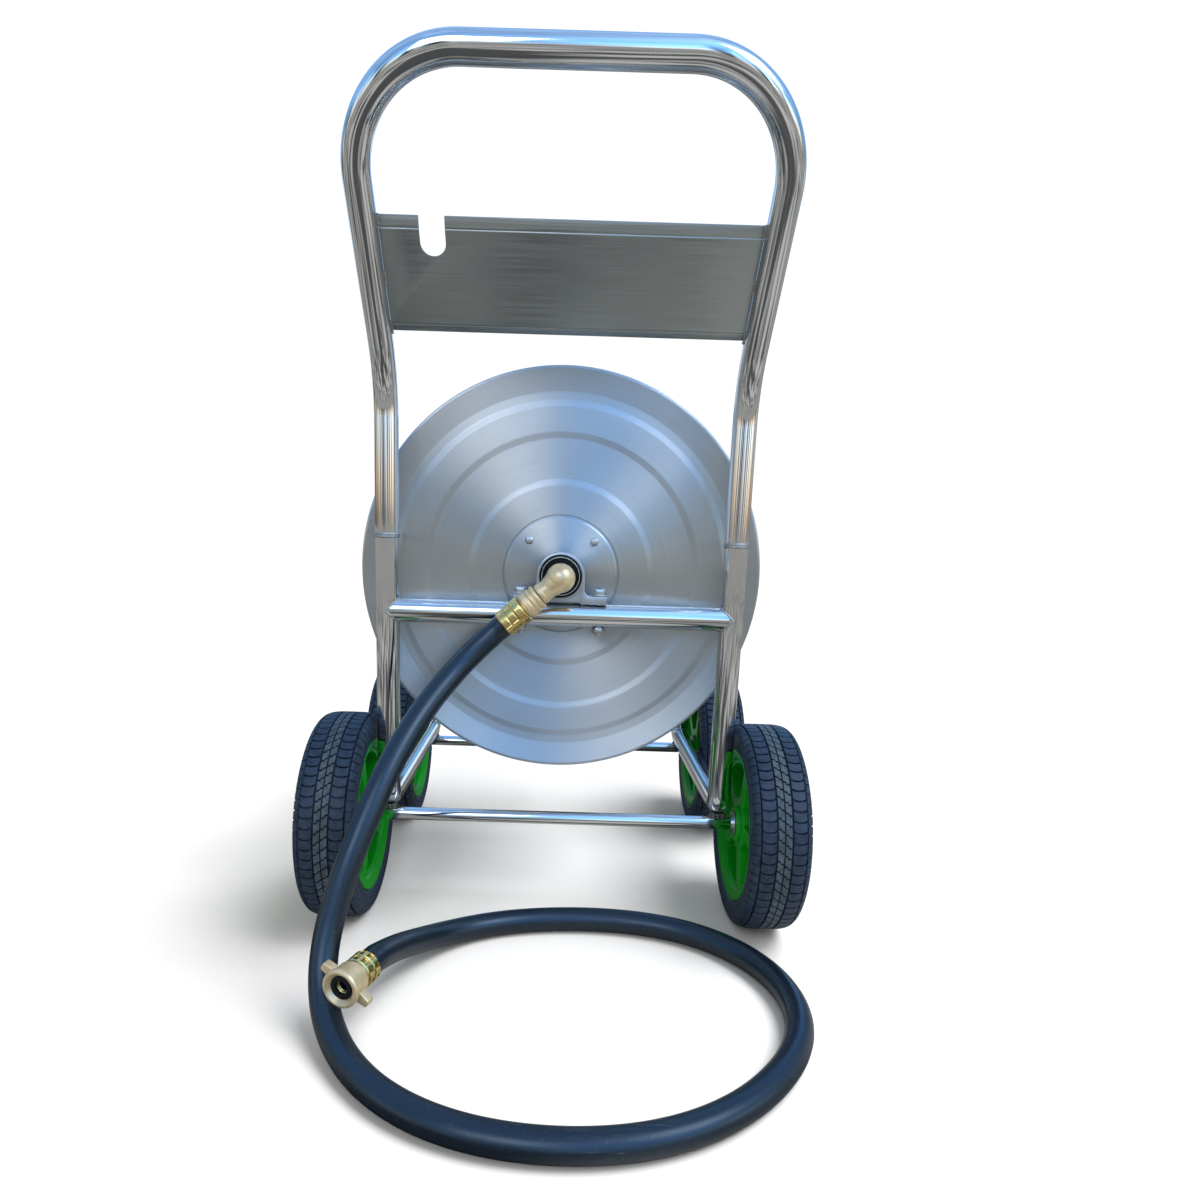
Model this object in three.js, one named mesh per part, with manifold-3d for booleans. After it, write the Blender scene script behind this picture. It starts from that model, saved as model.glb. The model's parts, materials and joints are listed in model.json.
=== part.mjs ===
// Garden hose reel cart: a stainless tube frame on four wheels that carries a hose reel.
// Millimetres. +X is to the user's right, +Y runs from the handle to the crank, +Z is up.
// The near axle stands at y = 0 while the parts are laid out, and the finished group is
// moved so that its origin is the middle of its footprint, on the ground.
import * as THREE from "three";
import { mergeVertices } from "three/addons/utils/BufferGeometryUtils.js";
import Module from "manifold-3d";

const wasm = await Module();
wasm.setup();

// ---------------------------------------------------------------- driving dimensions
const GAP = 0.3;                  // left between pieces that touch
const TUBE_R = 14;                // 28 mm frame tube
const TUBE_SIDES = 16;
const FRAME_HALF = 208;           // middle plane to the middle of an upright
const WHEELBASE = 344;
const WHEEL_R = 127;              // 10 inch wheel, measured to its flats
const WHEEL_W = 69;
const WHEEL_FACE = 225;           // middle plane to a wheel's inner face
const WHEEL_SIDES = 24;
const AXLE_R = 8;
const AXLE_END = 61;              // from a wheel's inner face to its axle's end
const RAIL_Z = WHEEL_R + AXLE_R + TUBE_R + GAP;
const CROSS_Z = 386;
const JOINT_Z = 475;              // where the handle is welded on the near uprights
const JOINT_HALF = 2;
const FAR_TOP_Z = 418;
const BEND_Z = 654;               // where the handle leans back towards the user
const LEAN = THREE.MathUtils.degToRad(37.2);
const LEAN_LENGTH = 308;
const BEND_R = 135;
const CORNER_R = 106;
const REEL_Z = 433;
const DISC_R = 247;
const DISC_Y = 34;                // outer face of the near disc at its hub
const SHEET = 1.5;
const DRUM_R = 94;
const HUB_R = 69;
const HUB_PLATE = 3;
const SHAFT_R = 10;
const SHAFT_FRONT_Y = -20;
const BOLT_X = 47.5;              // pillow block bolt, from the middle plane
const BOLT_R = 5;
const FOOT_TOP = -23;             // top of a pillow block's foot, from the shaft axis
const SCREW_RING_R = 57;
const CRANK_Y = 366;
const CRANK_R = 140;
const CRANK_T = 8;
const GRIP_START_Y = CRANK_Y + CRANK_T + 9;
const GRIP_LENGTH = 92;
const PIN_R = 6;
const PIN_END_Y = 480;
const WATERWAY_R = 6.5;
const HOSE_R = 14;
const GROUND_HOSE_Z = HOSE_R + 0.3;
const ELBOW = [0, -42, REEL_Z];
const ELBOW_DROP = THREE.MathUtils.degToRad(41);
const HOSE_START = 85.5;          // from the elbow's middle, along its barrel
const COUPLING_MOUTH = [-196, -287, 60];
const COUPLING_YAW = THREE.MathUtils.degToRad(20.2);
const COUPLING_LENGTH = 46.9;
const SWIVEL_LENGTH = 25;
const WING_TILT = THREE.MathUtils.degToRad(-30);
const REACH_Y = -LEAN_LENGTH * Math.sin(LEAN) - TUBE_R;
const CENTRE_Y = (PIN_END_Y + REACH_Y) / 2;

const metal = (color, roughness) =>
  new THREE.MeshStandardMaterial({ color, roughness, metalness: 1 });
const plastic = (color, roughness) =>
  new THREE.MeshStandardMaterial({ color, roughness, metalness: 0 });
const POLISHED = metal(0xc9cdd0, 0.12);
const BRUSHED = metal(0xa9b0b5, 0.38);
const WELD = metal(0x8b8d8c, 0.55);
const CAST = metal(0xaab4bd, 0.42);
const ZINC = metal(0xc4c8ca, 0.25);
const BRASS = metal(0xc9b27a, 0.3);
const GOLD = metal(0xd2b04f, 0.2);
const RUBBER = plastic(0x1b2634, 0.5);
const TYRE = plastic(0x202630, 0.75);
const GREEN = plastic(0x10a51c, 0.4);
const BLACK = plastic(0x0c0d0f, 0.45);

// ---------------------------------------------------------------- geometry helpers
// One closed mesh: shared corners merged and triangles without area left out.
function merged(geometry) {
  const bare = geometry.clone();
  bare.deleteAttribute("normal");
  bare.deleteAttribute("uv");
  const solid = mergeVertices(bare, 1e-4);
  const index = solid.getIndex().array;
  const kept = [];
  for (let i = 0; i < index.length; i += 3) {
    const [a, b, c] = [index[i], index[i + 1], index[i + 2]];
    if (a !== b && b !== c && c !== a) kept.push(a, b, c);
  }
  solid.setIndex(kept);
  return solid;
}

function toSolid(geometry) {
  const mesh = merged(geometry);
  return new wasm.Manifold(new wasm.Mesh({
    numProp: 3,
    vertProperties: new Float32Array(mesh.getAttribute("position").array),
    triVerts: new Uint32Array(mesh.getIndex().array),
  }));
}

function fromSolid(solid) {
  const mesh = solid.getMesh();
  const geometry = new THREE.BufferGeometry();
  geometry.setAttribute("position", new THREE.BufferAttribute(mesh.vertProperties, 3));
  geometry.setIndex(new THREE.BufferAttribute(mesh.triVerts, 1));
  return geometry;
}

function cut(geometry, cutters) {
  let solid = toSolid(geometry);
  for (const cutter of cutters) solid = solid.subtract(toSolid(cutter));
  return fromSolid(solid);
}

function join(geometries) {
  let solid = toSolid(geometries[0]);
  for (const other of geometries.slice(1)) solid = solid.add(toSolid(other));
  return fromSolid(solid);
}

// A profile of [radius, height] pairs turned about +Z, listed anticlockwise.
function turned(profile, sides, start = 0) {
  const points = profile.map(([r, z]) => new THREE.Vector2(r, z));
  const geometry = new THREE.LatheGeometry(points, sides, start);
  geometry.rotateX(Math.PI / 2);
  return merged(geometry);
}

// A plain round bar along +Z, from z = low to z = high.
function bar(radius, low, high, sides) {
  return turned([[0, low], [radius, low], [radius, high], [0, high]], sides);
}

// A plain ring along +Z.
function ring(inner, outer, low, high, sides) {
  return turned([[inner, low], [outer, low], [outer, high], [inner, high], [inner, low]], sides);
}

// A bar along +Z whose end planes slope in y, as a mitre saw leaves them.
function mitred(radius, low, high, slopeLow, slopeHigh, sides) {
  const geometry = bar(radius, low, high, sides);
  const position = geometry.getAttribute("position");
  const middle = (low + high) / 2;
  for (let i = 0; i < position.count; i += 1) {
    const slope = position.getZ(i) < middle ? slopeLow : slopeHigh;
    position.setZ(i, position.getZ(i) + slope * position.getY(i));
  }
  return geometry;
}

// A circular arc in space, turned about an axis through its centre.
class SpaceArc extends THREE.Curve {
  constructor(centre, start, axis, angle) {
    super();
    Object.assign(this, { centre, start, axis, angle });
  }

  getPoint(t, target = new THREE.Vector3()) {
    target.copy(this.start).sub(this.centre);
    return target.applyAxisAngle(this.axis, this.angle * t).add(this.centre);
  }
}

// Straight runs between corners, each corner rounded to its own radius.
function roundedPath(corners, radii) {
  const points = corners.map((p) => new THREE.Vector3(...p));
  const path = new THREE.CurvePath();
  let from = points[0];
  for (let i = 1; i < points.length - 1; i += 1) {
    const before = points[i].clone().sub(points[i - 1]).normalize();
    const after = points[i + 1].clone().sub(points[i]).normalize();
    const angle = before.angleTo(after);
    const setback = radii[i - 1] * Math.tan(angle / 2);
    const axis = before.clone().cross(after).normalize();
    const start = points[i].clone().addScaledVector(before, -setback);
    const inward = axis.clone().cross(before);
    const centre = start.clone().addScaledVector(inward, radii[i - 1]);
    path.add(new THREE.LineCurve3(from, start));
    const arc = new SpaceArc(centre, start, axis, angle);
    path.add(arc);
    from = arc.getPoint(1);
  }
  path.add(new THREE.LineCurve3(from, points[points.length - 1]));
  return path;
}

function polygonShape(radius, sides) {
  const shape = new THREE.Shape();
  for (let i = 0; i < sides; i += 1) {
    const angle = (2 * Math.PI * i) / sides;
    const point = [radius * Math.cos(angle), radius * Math.sin(angle)];
    if (i === 0) shape.moveTo(...point);
    else shape.lineTo(...point);
  }
  shape.closePath();
  return shape;
}

function tubeAlong(path, radius, sides, steps) {
  return merged(new THREE.ExtrudeGeometry(polygonShape(radius, sides), {
    steps, extrudePath: path, bevelEnabled: false,
  }));
}

function plateOf(shape, thickness, curveSegments = 12) {
  return merged(new THREE.ExtrudeGeometry(shape, {
    depth: thickness, bevelEnabled: false, curveSegments,
  }));
}

const cart = new THREE.Group();
const layout = new THREE.Group();
layout.position.y = -CENTRE_Y;
cart.add(layout);

function add(name, geometry, material, position = [0, 0, 0], rotation = [0, 0, 0]) {
  const mesh = new THREE.Mesh(geometry, material);
  mesh.name = name;
  mesh.position.set(...position);
  mesh.rotation.set(...rotation);
  layout.add(mesh);
  return mesh;
}

const ALONG_X = [0, Math.PI / 2, 0];
const ALONG_MINUS_X = [0, -Math.PI / 2, 0];
const ALONG_Y = [-Math.PI / 2, 0, 0];
const ALONG_MINUS_Y = [Math.PI / 2, 0, 0];
const SIDES = [["left", -1], ["right", 1]];
const ENDS = [["near", 0], ["far", WHEELBASE]];

// ---------------------------------------------------------------- frame
function frame() {
  const top = [-LEAN_LENGTH * Math.sin(LEAN), BEND_Z + LEAN_LENGTH * Math.cos(LEAN)];
  const foot = JOINT_Z + JOINT_HALF + GAP;
  const half = [[foot, 0], [BEND_Z, 0], [top[1], top[0]]];
  const left = half.map(([z, y]) => [-FRAME_HALF, y, z]);
  const right = half.map(([z, y]) => [FRAME_HALF, y, z]).reverse();
  const path = roundedPath([...left, ...right], [BEND_R, CORNER_R, CORNER_R, BEND_R]);
  add("handle_tube", tubeAlong(path, TUBE_R, 12, 44), POLISHED);

  const upright = JOINT_Z - JOINT_HALF - GAP;
  for (const [side, sign] of SIDES) {
    const x = sign * FRAME_HALF;
    add(`${side}_weld_ring`, bar(TUBE_R + 0.8, -JOINT_HALF, JOINT_HALF, TUBE_SIDES), WELD,
      [x, 0, JOINT_Z]);
    add(`near_${side}_upright`,
      mitred(TUBE_R, GAP, upright - RAIL_Z, 1, 0, TUBE_SIDES), POLISHED, [x, 0, RAIL_Z]);
    add(`${side}_base_rail`,
      mitred(TUBE_R, GAP, WHEELBASE - GAP, -1, 1, TUBE_SIDES), POLISHED,
      [x, 0, RAIL_Z], ALONG_Y);
    add(`far_${side}_upright`,
      mitred(TUBE_R, GAP, FAR_TOP_Z - RAIL_Z, -1, 0, TUBE_SIDES), POLISHED,
      [x, WHEELBASE, RAIL_Z]);
    add(`far_${side}_cap`, turned([[0, GAP], [TUBE_R + 0.5, GAP], [TUBE_R + 0.5, 4], [11, 7],
      [0, 7.5]], TUBE_SIDES), BLACK, [x, WHEELBASE, FAR_TOP_Z]);
  }

  const saddle = (TUBE_R + GAP) / Math.cos(Math.PI / TUBE_SIDES);
  for (const [end, y] of ENDS) {
    const cutters = [-FRAME_HALF, FRAME_HALF].map((x) =>
      bar(saddle, -30, 30, 16).translate(x, 0, 0));
    for (const x of [-BOLT_X, BOLT_X]) {
      cutters.push(bar(BOLT_R + 2 * GAP, -30, 30, 10).translate(x, 0, 0));
    }
    const tube = bar(TUBE_R, -FRAME_HALF, FRAME_HALF, TUBE_SIDES).rotateY(Math.PI / 2);
    add(`${end}_cross_tube`, cut(tube, cutters), POLISHED, [0, y, CROSS_Z]);
    const reach = WHEEL_FACE + AXLE_END;
    add(`${end}_axle`, bar(AXLE_R, -reach, reach, 16), POLISHED, [0, y, WHEEL_R], ALONG_X);
  }
}

// Sheet between the handle legs, with lips along both long edges and a slot for a nozzle.
function toolPlate() {
  const width = 2 * (FRAME_HALF - TUBE_R - GAP);
  const [bottom, foldLow, foldHigh, top] = [54, 63, 160.5, 171.5];
  const lip = 3;
  const section = new THREE.Shape();
  section.moveTo(lip, bottom);
  section.lineTo(lip + SHEET, bottom);
  section.lineTo(SHEET, foldLow);
  section.lineTo(SHEET, foldHigh);
  section.lineTo(lip + SHEET, top);
  section.lineTo(lip, top);
  section.lineTo(0, foldHigh);
  section.lineTo(0, foldLow);
  section.closePath();
  const sheet = plateOf(section, width).translate(0, 0, -width / 2).rotateY(Math.PI / 2);
  const slot = new THREE.Shape();
  const [slotX, slotR, slotBottom] = [-140, 13, 134];
  slot.moveTo(slotX + slotR, top + 5);
  slot.lineTo(slotX - slotR, top + 5);
  slot.lineTo(slotX - slotR, slotBottom + slotR);
  slot.absarc(slotX, slotBottom + slotR, slotR, Math.PI, 2 * Math.PI, false);
  slot.closePath();
  const punch = plateOf(slot, 20, 8).rotateX(Math.PI / 2).translate(0, 10, 0);
  // The section lies in x-y and the sheet runs along z: turn it to x, with its length up.
  const upright = sheet.rotateX(Math.PI / 2);
  add("tool_plate", cut(upright, [punch]), BRUSHED, [0, 0, BEND_Z], [LEAN, 0, 0]);
}

// ---------------------------------------------------------------- bearings
// A pillow block on each cross tube: housing, sealed insert and two clamping bolts.
function pillowBlocks() {
  const [footHalf, footLow, ringR, seatR, halfDepth] = [56, -32.7, 29, 25.2, 12];
  const outline = new THREE.Shape();
  outline.moveTo(-footHalf, footLow);
  outline.lineTo(footHalf, footLow);
  outline.lineTo(footHalf, FOOT_TOP);
  outline.lineTo(ringR, FOOT_TOP);
  outline.lineTo(ringR, 0);
  outline.absarc(0, 0, ringR, 0, Math.PI, false);
  outline.lineTo(-ringR, FOOT_TOP);
  outline.lineTo(-footHalf, FOOT_TOP);
  outline.closePath();
  const seat = new THREE.Path();
  seat.absarc(0, 0, seatR / Math.cos(Math.PI / 20), 0, 2 * Math.PI, true);
  outline.holes.push(seat);
  const block = plateOf(outline, 2 * halfDepth, 10).rotateX(Math.PI / 2)
    .translate(0, halfDepth, 0);
  const holes = [-BOLT_X, BOLT_X].map((x) => bar(BOLT_R + 2 * GAP, -40, -15, 10)
    .translate(x, 0, 0));
  const housing = cut(block, holes);

  const under = CROSS_Z - TUBE_R - REEL_Z;
  const [headR, headHigh, nutHigh] = [8, 6, 8];
  const bolt = turned([[0, under - nutHigh - 5], [BOLT_R, under - nutHigh - 5],
    [BOLT_R, under - nutHigh - GAP], [headR, under - nutHigh - GAP], [headR, under - GAP],
    [BOLT_R, under - GAP], [BOLT_R, FOOT_TOP + GAP], [10, FOOT_TOP + GAP],
    [10, FOOT_TOP + 2], [headR, FOOT_TOP + 2], [headR, FOOT_TOP + 2 + headHigh],
    [0, FOOT_TOP + 2 + headHigh]], 10);
  for (const [end, y] of ENDS) {
    add(`${end}_pillow_block`, housing, CAST, [0, y, REEL_Z]);
    add(`${end}_bearing_seal`, ring(16.5, seatR - GAP, -9, 9, 20), BLACK,
      [0, y, REEL_Z], ALONG_Y);
    for (const [side, sign] of SIDES) {
      add(`${end}_${side}_block_bolt`, bolt, ZINC, [sign * BOLT_X, y, REEL_Z]);
    }
  }
}

// ---------------------------------------------------------------- reel
// Pressed side disc: ring steps back and forward between the hub and a rim that flares out.
// Heights are measured from the hub's outer face into the reel.
function sideDisc() {
  const face = [
    [18, 0], [108, 0], [116, 3], [162, 3], [171, 0], [199, 0], [208, 3], [218, 3], [DISC_R, -2],
  ];
  const back = face.map(([r, z]) => [r, z + SHEET]).reverse();
  return turned([...face, ...back, face[0]], 32);
}

function reel() {
  const farY = WHEELBASE - DISC_Y;
  const screwSeats = [45, 135, 225, 315].map((degrees) => {
    const angle = THREE.MathUtils.degToRad(degrees);
    return [SCREW_RING_R * Math.cos(angle), SCREW_RING_R * Math.sin(angle)];
  });
  const screwHoles = screwSeats.map(([x, y]) => bar(2.9, -20, 20, 6).translate(x, y, 0));
  const disc = cut(sideDisc(), screwHoles);
  const hub = cut(turned([[SHAFT_R + GAP, -HUB_PLATE - GAP], [HUB_R - 1, -HUB_PLATE - GAP],
    [HUB_R, -HUB_PLATE + 1], [HUB_R, -GAP], [16, -GAP], [16, 26], [SHAFT_R + GAP, 26],
    [SHAFT_R + GAP, -HUB_PLATE - GAP]], 20), screwHoles);
  const faces = [["near", DISC_Y, ALONG_Y], ["far", farY, ALONG_MINUS_Y]];
  for (const [end, y, turn] of faces) {
    add(`${end}_disc`, disc, BRUSHED, [0, y, REEL_Z], turn);
    add(`${end}_hub_plate`, hub, BRUSHED, [0, y, REEL_Z], turn);
  }
  const low = -HUB_PLATE - 2 * GAP;
  const screw = turned([[0, low - 3], [3.5, low - 2.6], [5, low - 1.2], [5, low],
    [2.5, low], [2.5, 6], [0, 6]], 8);
  screwSeats.forEach(([x, z], i) => {
    add(`near_hub_screw_${i + 1}`, screw, ZINC, [x, DISC_Y, REEL_Z + z], ALONG_Y);
  });

  const drumLow = DISC_Y + SHEET + GAP;
  const drum = ring(DRUM_R - 2, DRUM_R, drumLow, farY - SHEET - GAP, 28);
  const outlet = { y: 96, angle: Math.PI, pipeR: 7.5, top: 122 };
  const portHole = bar(outlet.pipeR + 1, 60, 130, 12).rotateY(outlet.angle);
  const drumAlongY = drum.rotateX(-Math.PI / 2);
  add("drum", cut(drumAlongY, [portHole.translate(0, outlet.y, 0)]), BRUSHED,
    [0, 0, REEL_Z]);
  const riser = bar(outlet.pipeR, SHAFT_R + GAP, outlet.top, 12);
  const nipple = turned([[0, -14], [13, -14], [13, -4], [11, -2], [11, 22], [0, 22]], 12)
    .rotateX(-Math.PI / 2).translate(0, 0, outlet.top);
  add("drum_outlet", join([riser, nipple]), BRASS, [0, outlet.y, REEL_Z],
    [0, outlet.angle, 0]);

  const [shaftEnd, waterwayEnd] = [CRANK_Y + CRANK_T + 10, SHAFT_FRONT_Y + 110];
  add("reel_shaft", turned([[0, waterwayEnd], [WATERWAY_R, waterwayEnd],
    [WATERWAY_R, SHAFT_FRONT_Y], [SHAFT_R, SHAFT_FRONT_Y], [SHAFT_R, shaftEnd],
    [0, shaftEnd]], 20), ZINC, [0, 0, REEL_Z], ALONG_Y);
  for (const [end, y] of ENDS) {
    add(`${end}_inner_ring`, ring(SHAFT_R + GAP, 16, -13, 13, 20), ZINC,
      [0, y, REEL_Z], ALONG_Y);
  }
}

// ---------------------------------------------------------------- crank
// The arm hangs down from the shaft at rest, and the grip turns freely on its pin.
function crank() {
  const half = 13;
  const outline = new THREE.Shape();
  outline.absarc(0, 0, half + 3, 0, Math.PI, false);
  outline.lineTo(-half, -CRANK_R);
  outline.absarc(0, -CRANK_R, half, Math.PI, 2 * Math.PI, false);
  outline.closePath();
  for (const [y, r] of [[0, SHAFT_R], [-CRANK_R, PIN_R]]) {
    const hole = new THREE.Path();
    hole.absarc(0, y, (r + GAP) / Math.cos(Math.PI / 16), 0, 2 * Math.PI, true);
    outline.holes.push(hole);
  }
  const arm = plateOf(outline, CRANK_T, 8).rotateX(Math.PI / 2).translate(0, CRANK_T, 0);
  add("crank_arm", arm, POLISHED, [0, CRANK_Y, REEL_Z]);
  const nutBore = (SHAFT_R + GAP) / Math.cos(Math.PI / 6);
  add("crank_nut", ring(nutBore, 17, CRANK_T + GAP, CRANK_T + 8, 6), ZINC,
    [0, CRANK_Y, REEL_Z], ALONG_Y);
  const pinZ = REEL_Z - CRANK_R;
  const shoulder = GRIP_START_Y - GAP;
  add("crank_pin", turned([[0, CRANK_Y], [PIN_R, CRANK_Y], [PIN_R, CRANK_Y + CRANK_T + GAP],
    [11, CRANK_Y + CRANK_T + GAP], [11, shoulder], [PIN_R, shoulder],
    [PIN_R, PIN_END_Y - 5], [9, PIN_END_Y - 5], [9, PIN_END_Y - 2], [6, PIN_END_Y],
    [0, PIN_END_Y]], 12), ZINC, [0, 0, pinZ], ALONG_Y);
  const grip = turned([[PIN_R + GAP, 0], [12, 0], [15, 3], [14, 22], [16.5, 50],
    [15, GRIP_LENGTH - 5], [11, GRIP_LENGTH - 0.4], [PIN_R + GAP, GRIP_LENGTH - 0.4],
    [PIN_R + GAP, 0]], 18);
  add("crank_grip", grip, BLACK, [0, GRIP_START_Y, pinZ], ALONG_Y);
}

// ---------------------------------------------------------------- wheels
function tyreBody() {
  const half = [[88.5, 3], [97, 0], [113, 2], [123, 11], [WHEEL_R, 22]];
  const other = half.map(([r, z]) => [r, WHEEL_W - z]).reverse();
  const seat = [[86.4, WHEEL_W - 9], [86.4, 9]];
  const flats = 1 / Math.cos(Math.PI / WHEEL_SIDES);
  const profile = [...half, ...other, ...seat, half[0]].map(([r, z]) => [r * flats, z]);
  return turned(profile, WHEEL_SIDES, Math.PI / WHEEL_SIDES);
}

function rimBody() {
  const barrelR = 85.8;
  const [faceLow, faceHigh, webLow, webHigh] = [6, 60, 29, 37];
  const [hubR, hubLow, hubHigh, bore] = [24, 4, 55, AXLE_R + 0.4];
  const body = turned([[bore, hubLow], [hubR, hubLow], [hubR, webLow], [78, webLow],
    [80, faceLow], [barrelR, faceLow], [barrelR, faceHigh], [80, faceHigh], [78, webHigh],
    [hubR, webHigh], [hubR, hubHigh], [bore, hubHigh], [bore, hubLow]], 16);
  const parts = [body];
  for (let i = 0; i < 5; i += 1) {
    const rib = new THREE.BoxGeometry(60, 17, faceHigh - faceLow - 6)
      .translate(hubR + 28, 0, WHEEL_W / 2).rotateZ((2 * Math.PI * (i + 0.25)) / 5);
    parts.push(rib);
  }
  return join(parts);
}

function wheels() {
  const tyre = tyreBody();
  const rim = rimBody();
  const [capFoot, capRoof, capBore] = [55 + GAP, 62, AXLE_R + GAP];
  const cap = turned([[0, capRoof], [capBore, capRoof], [capBore, capFoot], [12.5, capFoot],
    [12.5, 61], [8, 65], [0, 65.7]], 12);
  for (const [end, y] of ENDS) {
    for (const [side, sign] of SIDES) {
      const spot = [sign * WHEEL_FACE, y, WHEEL_R];
      const turn = sign > 0 ? ALONG_X : ALONG_MINUS_X;
      add(`${end}_${side}_tyre`, tyre, TYRE, spot, turn);
      add(`${end}_${side}_rim`, rim, GREEN, spot, turn);
      add(`${end}_${side}_axle_cap`, cap, ZINC, spot, turn);
    }
  }
}

// ---------------------------------------------------------------- inlet and lead-in hose
// The swivel elbow stands still with the hose while the reel's shaft turns round its spigot.
function inlet() {
  const neckEnd = SHAFT_FRONT_Y - ELBOW[1] - GAP;
  const [ballR, neckR, barrelR, barrelEnd, boreR] = [17, 12, 11.5, 31.5, 4];
  const aim = -Math.PI / 2 - ELBOW_DROP;
  const downBarrel = (geometry) => geometry.rotateY(aim);
  const alongShaft = (geometry) => geometry.rotateX(-Math.PI / 2);
  const ball = new THREE.SphereGeometry(ballR, 12, 8);
  const body = join([ball, alongShaft(bar(neckR, 0, neckEnd, 12)),
    alongShaft(bar(WATERWAY_R - 0.5, 0, neckEnd + 40, 12)),
    downBarrel(bar(barrelR, 0, barrelEnd, 12))]);
  const bores = [alongShaft(bar(boreR, -4, neckEnd + 50, 8)),
    downBarrel(bar(boreR, 0, barrelEnd + 10, 8))];
  add("inlet_elbow", cut(body, bores), BRASS, ELBOW);

  const collar = turned([[8, 31.8], [14.5, 31.8], [15.4, 33], [15.4, 36], [13.6, 38],
    [15.4, 40], [15.4, 51], [14, 54], [8, 54], [8, 31.8]], 16);
  const nut = turned([[8, 54.3], [16.2, 54.3], [17.2, 56], [17.2, 62], [16.2, 64],
    [16.2, 84], [15, HOSE_START - GAP], [8, HOSE_START - GAP], [8, 54.3]], 16);
  const turn = [0, aim, 0];
  add("inlet_collar", collar, BRASS, ELBOW, turn);
  add("inlet_hose_nut", nut, GOLD, ELBOW, turn);
}

// The coupling lies on its own hose, mouth towards the user. Heights run back from the mouth.
function endCoupling() {
  const coupling = new THREE.Group();
  coupling.position.set(...COUPLING_MOUTH);
  coupling.rotation.z = -COUPLING_YAW;
  layout.add(coupling);
  const place = (name, geometry, material) => {
    const mesh = new THREE.Mesh(geometry, material);
    mesh.name = name;
    mesh.rotation.set(...ALONG_MINUS_Y);
    coupling.add(mesh);
  };
  const [mouthR, throatR, seat, tailR] = [12, 8.7, -14, 8];
  const shell = turned([[throatR, -SWIVEL_LENGTH], [16, -SWIVEL_LENGTH], [17.5, -23],
    [17.5, -7], [18.7, -6], [18.7, -2], [16.5, 0], [13.2, 0], [mouthR, -1.5], [mouthR, seat],
    [throatR, seat], [throatR, -SWIVEL_LENGTH]], 18);
  const wings = [0, Math.PI].map((angle) => new THREE.BoxGeometry(16, 10, 9)
    .translate(23, 0, -13).rotateZ(angle + WING_TILT));
  place("end_swivel_nut", join([shell, ...wings]), BRASS);
  place("end_washer", ring(6.5, mouthR - GAP, -11.4, -8.4, 16), BLACK);
  place("end_ferrule", turned([[5, -COUPLING_LENGTH], [15.6, -COUPLING_LENGTH],
    [16.4, -45], [16.4, -28], [15.6, -SWIVEL_LENGTH - GAP], [tailR, -SWIVEL_LENGTH - GAP],
    [tailR, seat + GAP], [11, seat + GAP], [11, -11.7], [5, -11.7],
    [5, -COUPLING_LENGTH]], 16), GOLD);
}

// The hose leaves its nut straight, drops in front of the left wheel, makes one loop on the
// ground and comes back up over itself to the coupling.
function leadInHose() {
  const out = new THREE.Vector3(-Math.cos(ELBOW_DROP), 0, -Math.sin(ELBOW_DROP));
  const start = new THREE.Vector3(...ELBOW).addScaledVector(out, HOSE_START);
  const back = new THREE.Vector3(Math.sin(COUPLING_YAW), Math.cos(COUPLING_YAW), 0);
  const end = new THREE.Vector3(...COUPLING_MOUTH)
    .addScaledVector(back, COUPLING_LENGTH + GAP);
  const route = [
    [-107, -52, 338], [-132, -77, 309], [-156, -116, 276], [-179, -162, 229],
    [-199, -198, 172], [-216, -220, 119], [-225, -240, 70], [-219, -267, 34],
    [-197, -304, 16], [-161, -350, GROUND_HOSE_Z], [-116, -386, GROUND_HOSE_Z],
    [-55, -411, GROUND_HOSE_Z], [13, -419, GROUND_HOSE_Z], [85, -411, GROUND_HOSE_Z],
    [150, -383, GROUND_HOSE_Z], [207, -334, GROUND_HOSE_Z], [247, -272, GROUND_HOSE_Z],
    [257, -208, GROUND_HOSE_Z], [240, -145, GROUND_HOSE_Z], [200, -95, GROUND_HOSE_Z],
    [145, -62, GROUND_HOSE_Z], [80, -48, GROUND_HOSE_Z], [10, -48, GROUND_HOSE_Z],
    [-60, -62, 14.6], [-115, -94, 18], [-150, -143, 31], [-167, -195, 51],
  ];
  const points = [
    start, start.clone().addScaledVector(out, 26),
    ...route.map((p) => new THREE.Vector3(...p)),
    end.clone().addScaledVector(back, 14), end,
  ];
  const path = new THREE.CatmullRomCurve3(points);
  add("inlet_hose", tubeAlong(path, HOSE_R, 8, 50), RUBBER);
}

frame();
toolPlate();
pillowBlocks();
reel();
crank();
wheels();
inlet();
endCoupling();
leadInHose();

export default cart;
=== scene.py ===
# Looks of the garden hose reel cart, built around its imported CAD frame.
# Metres, in the row frame: +X to the user's right, +Y from the handle to the crank, +Z up.
import json
import math

import bmesh
import bpy
import numpy as np
from mathutils import Matrix, Vector


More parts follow.
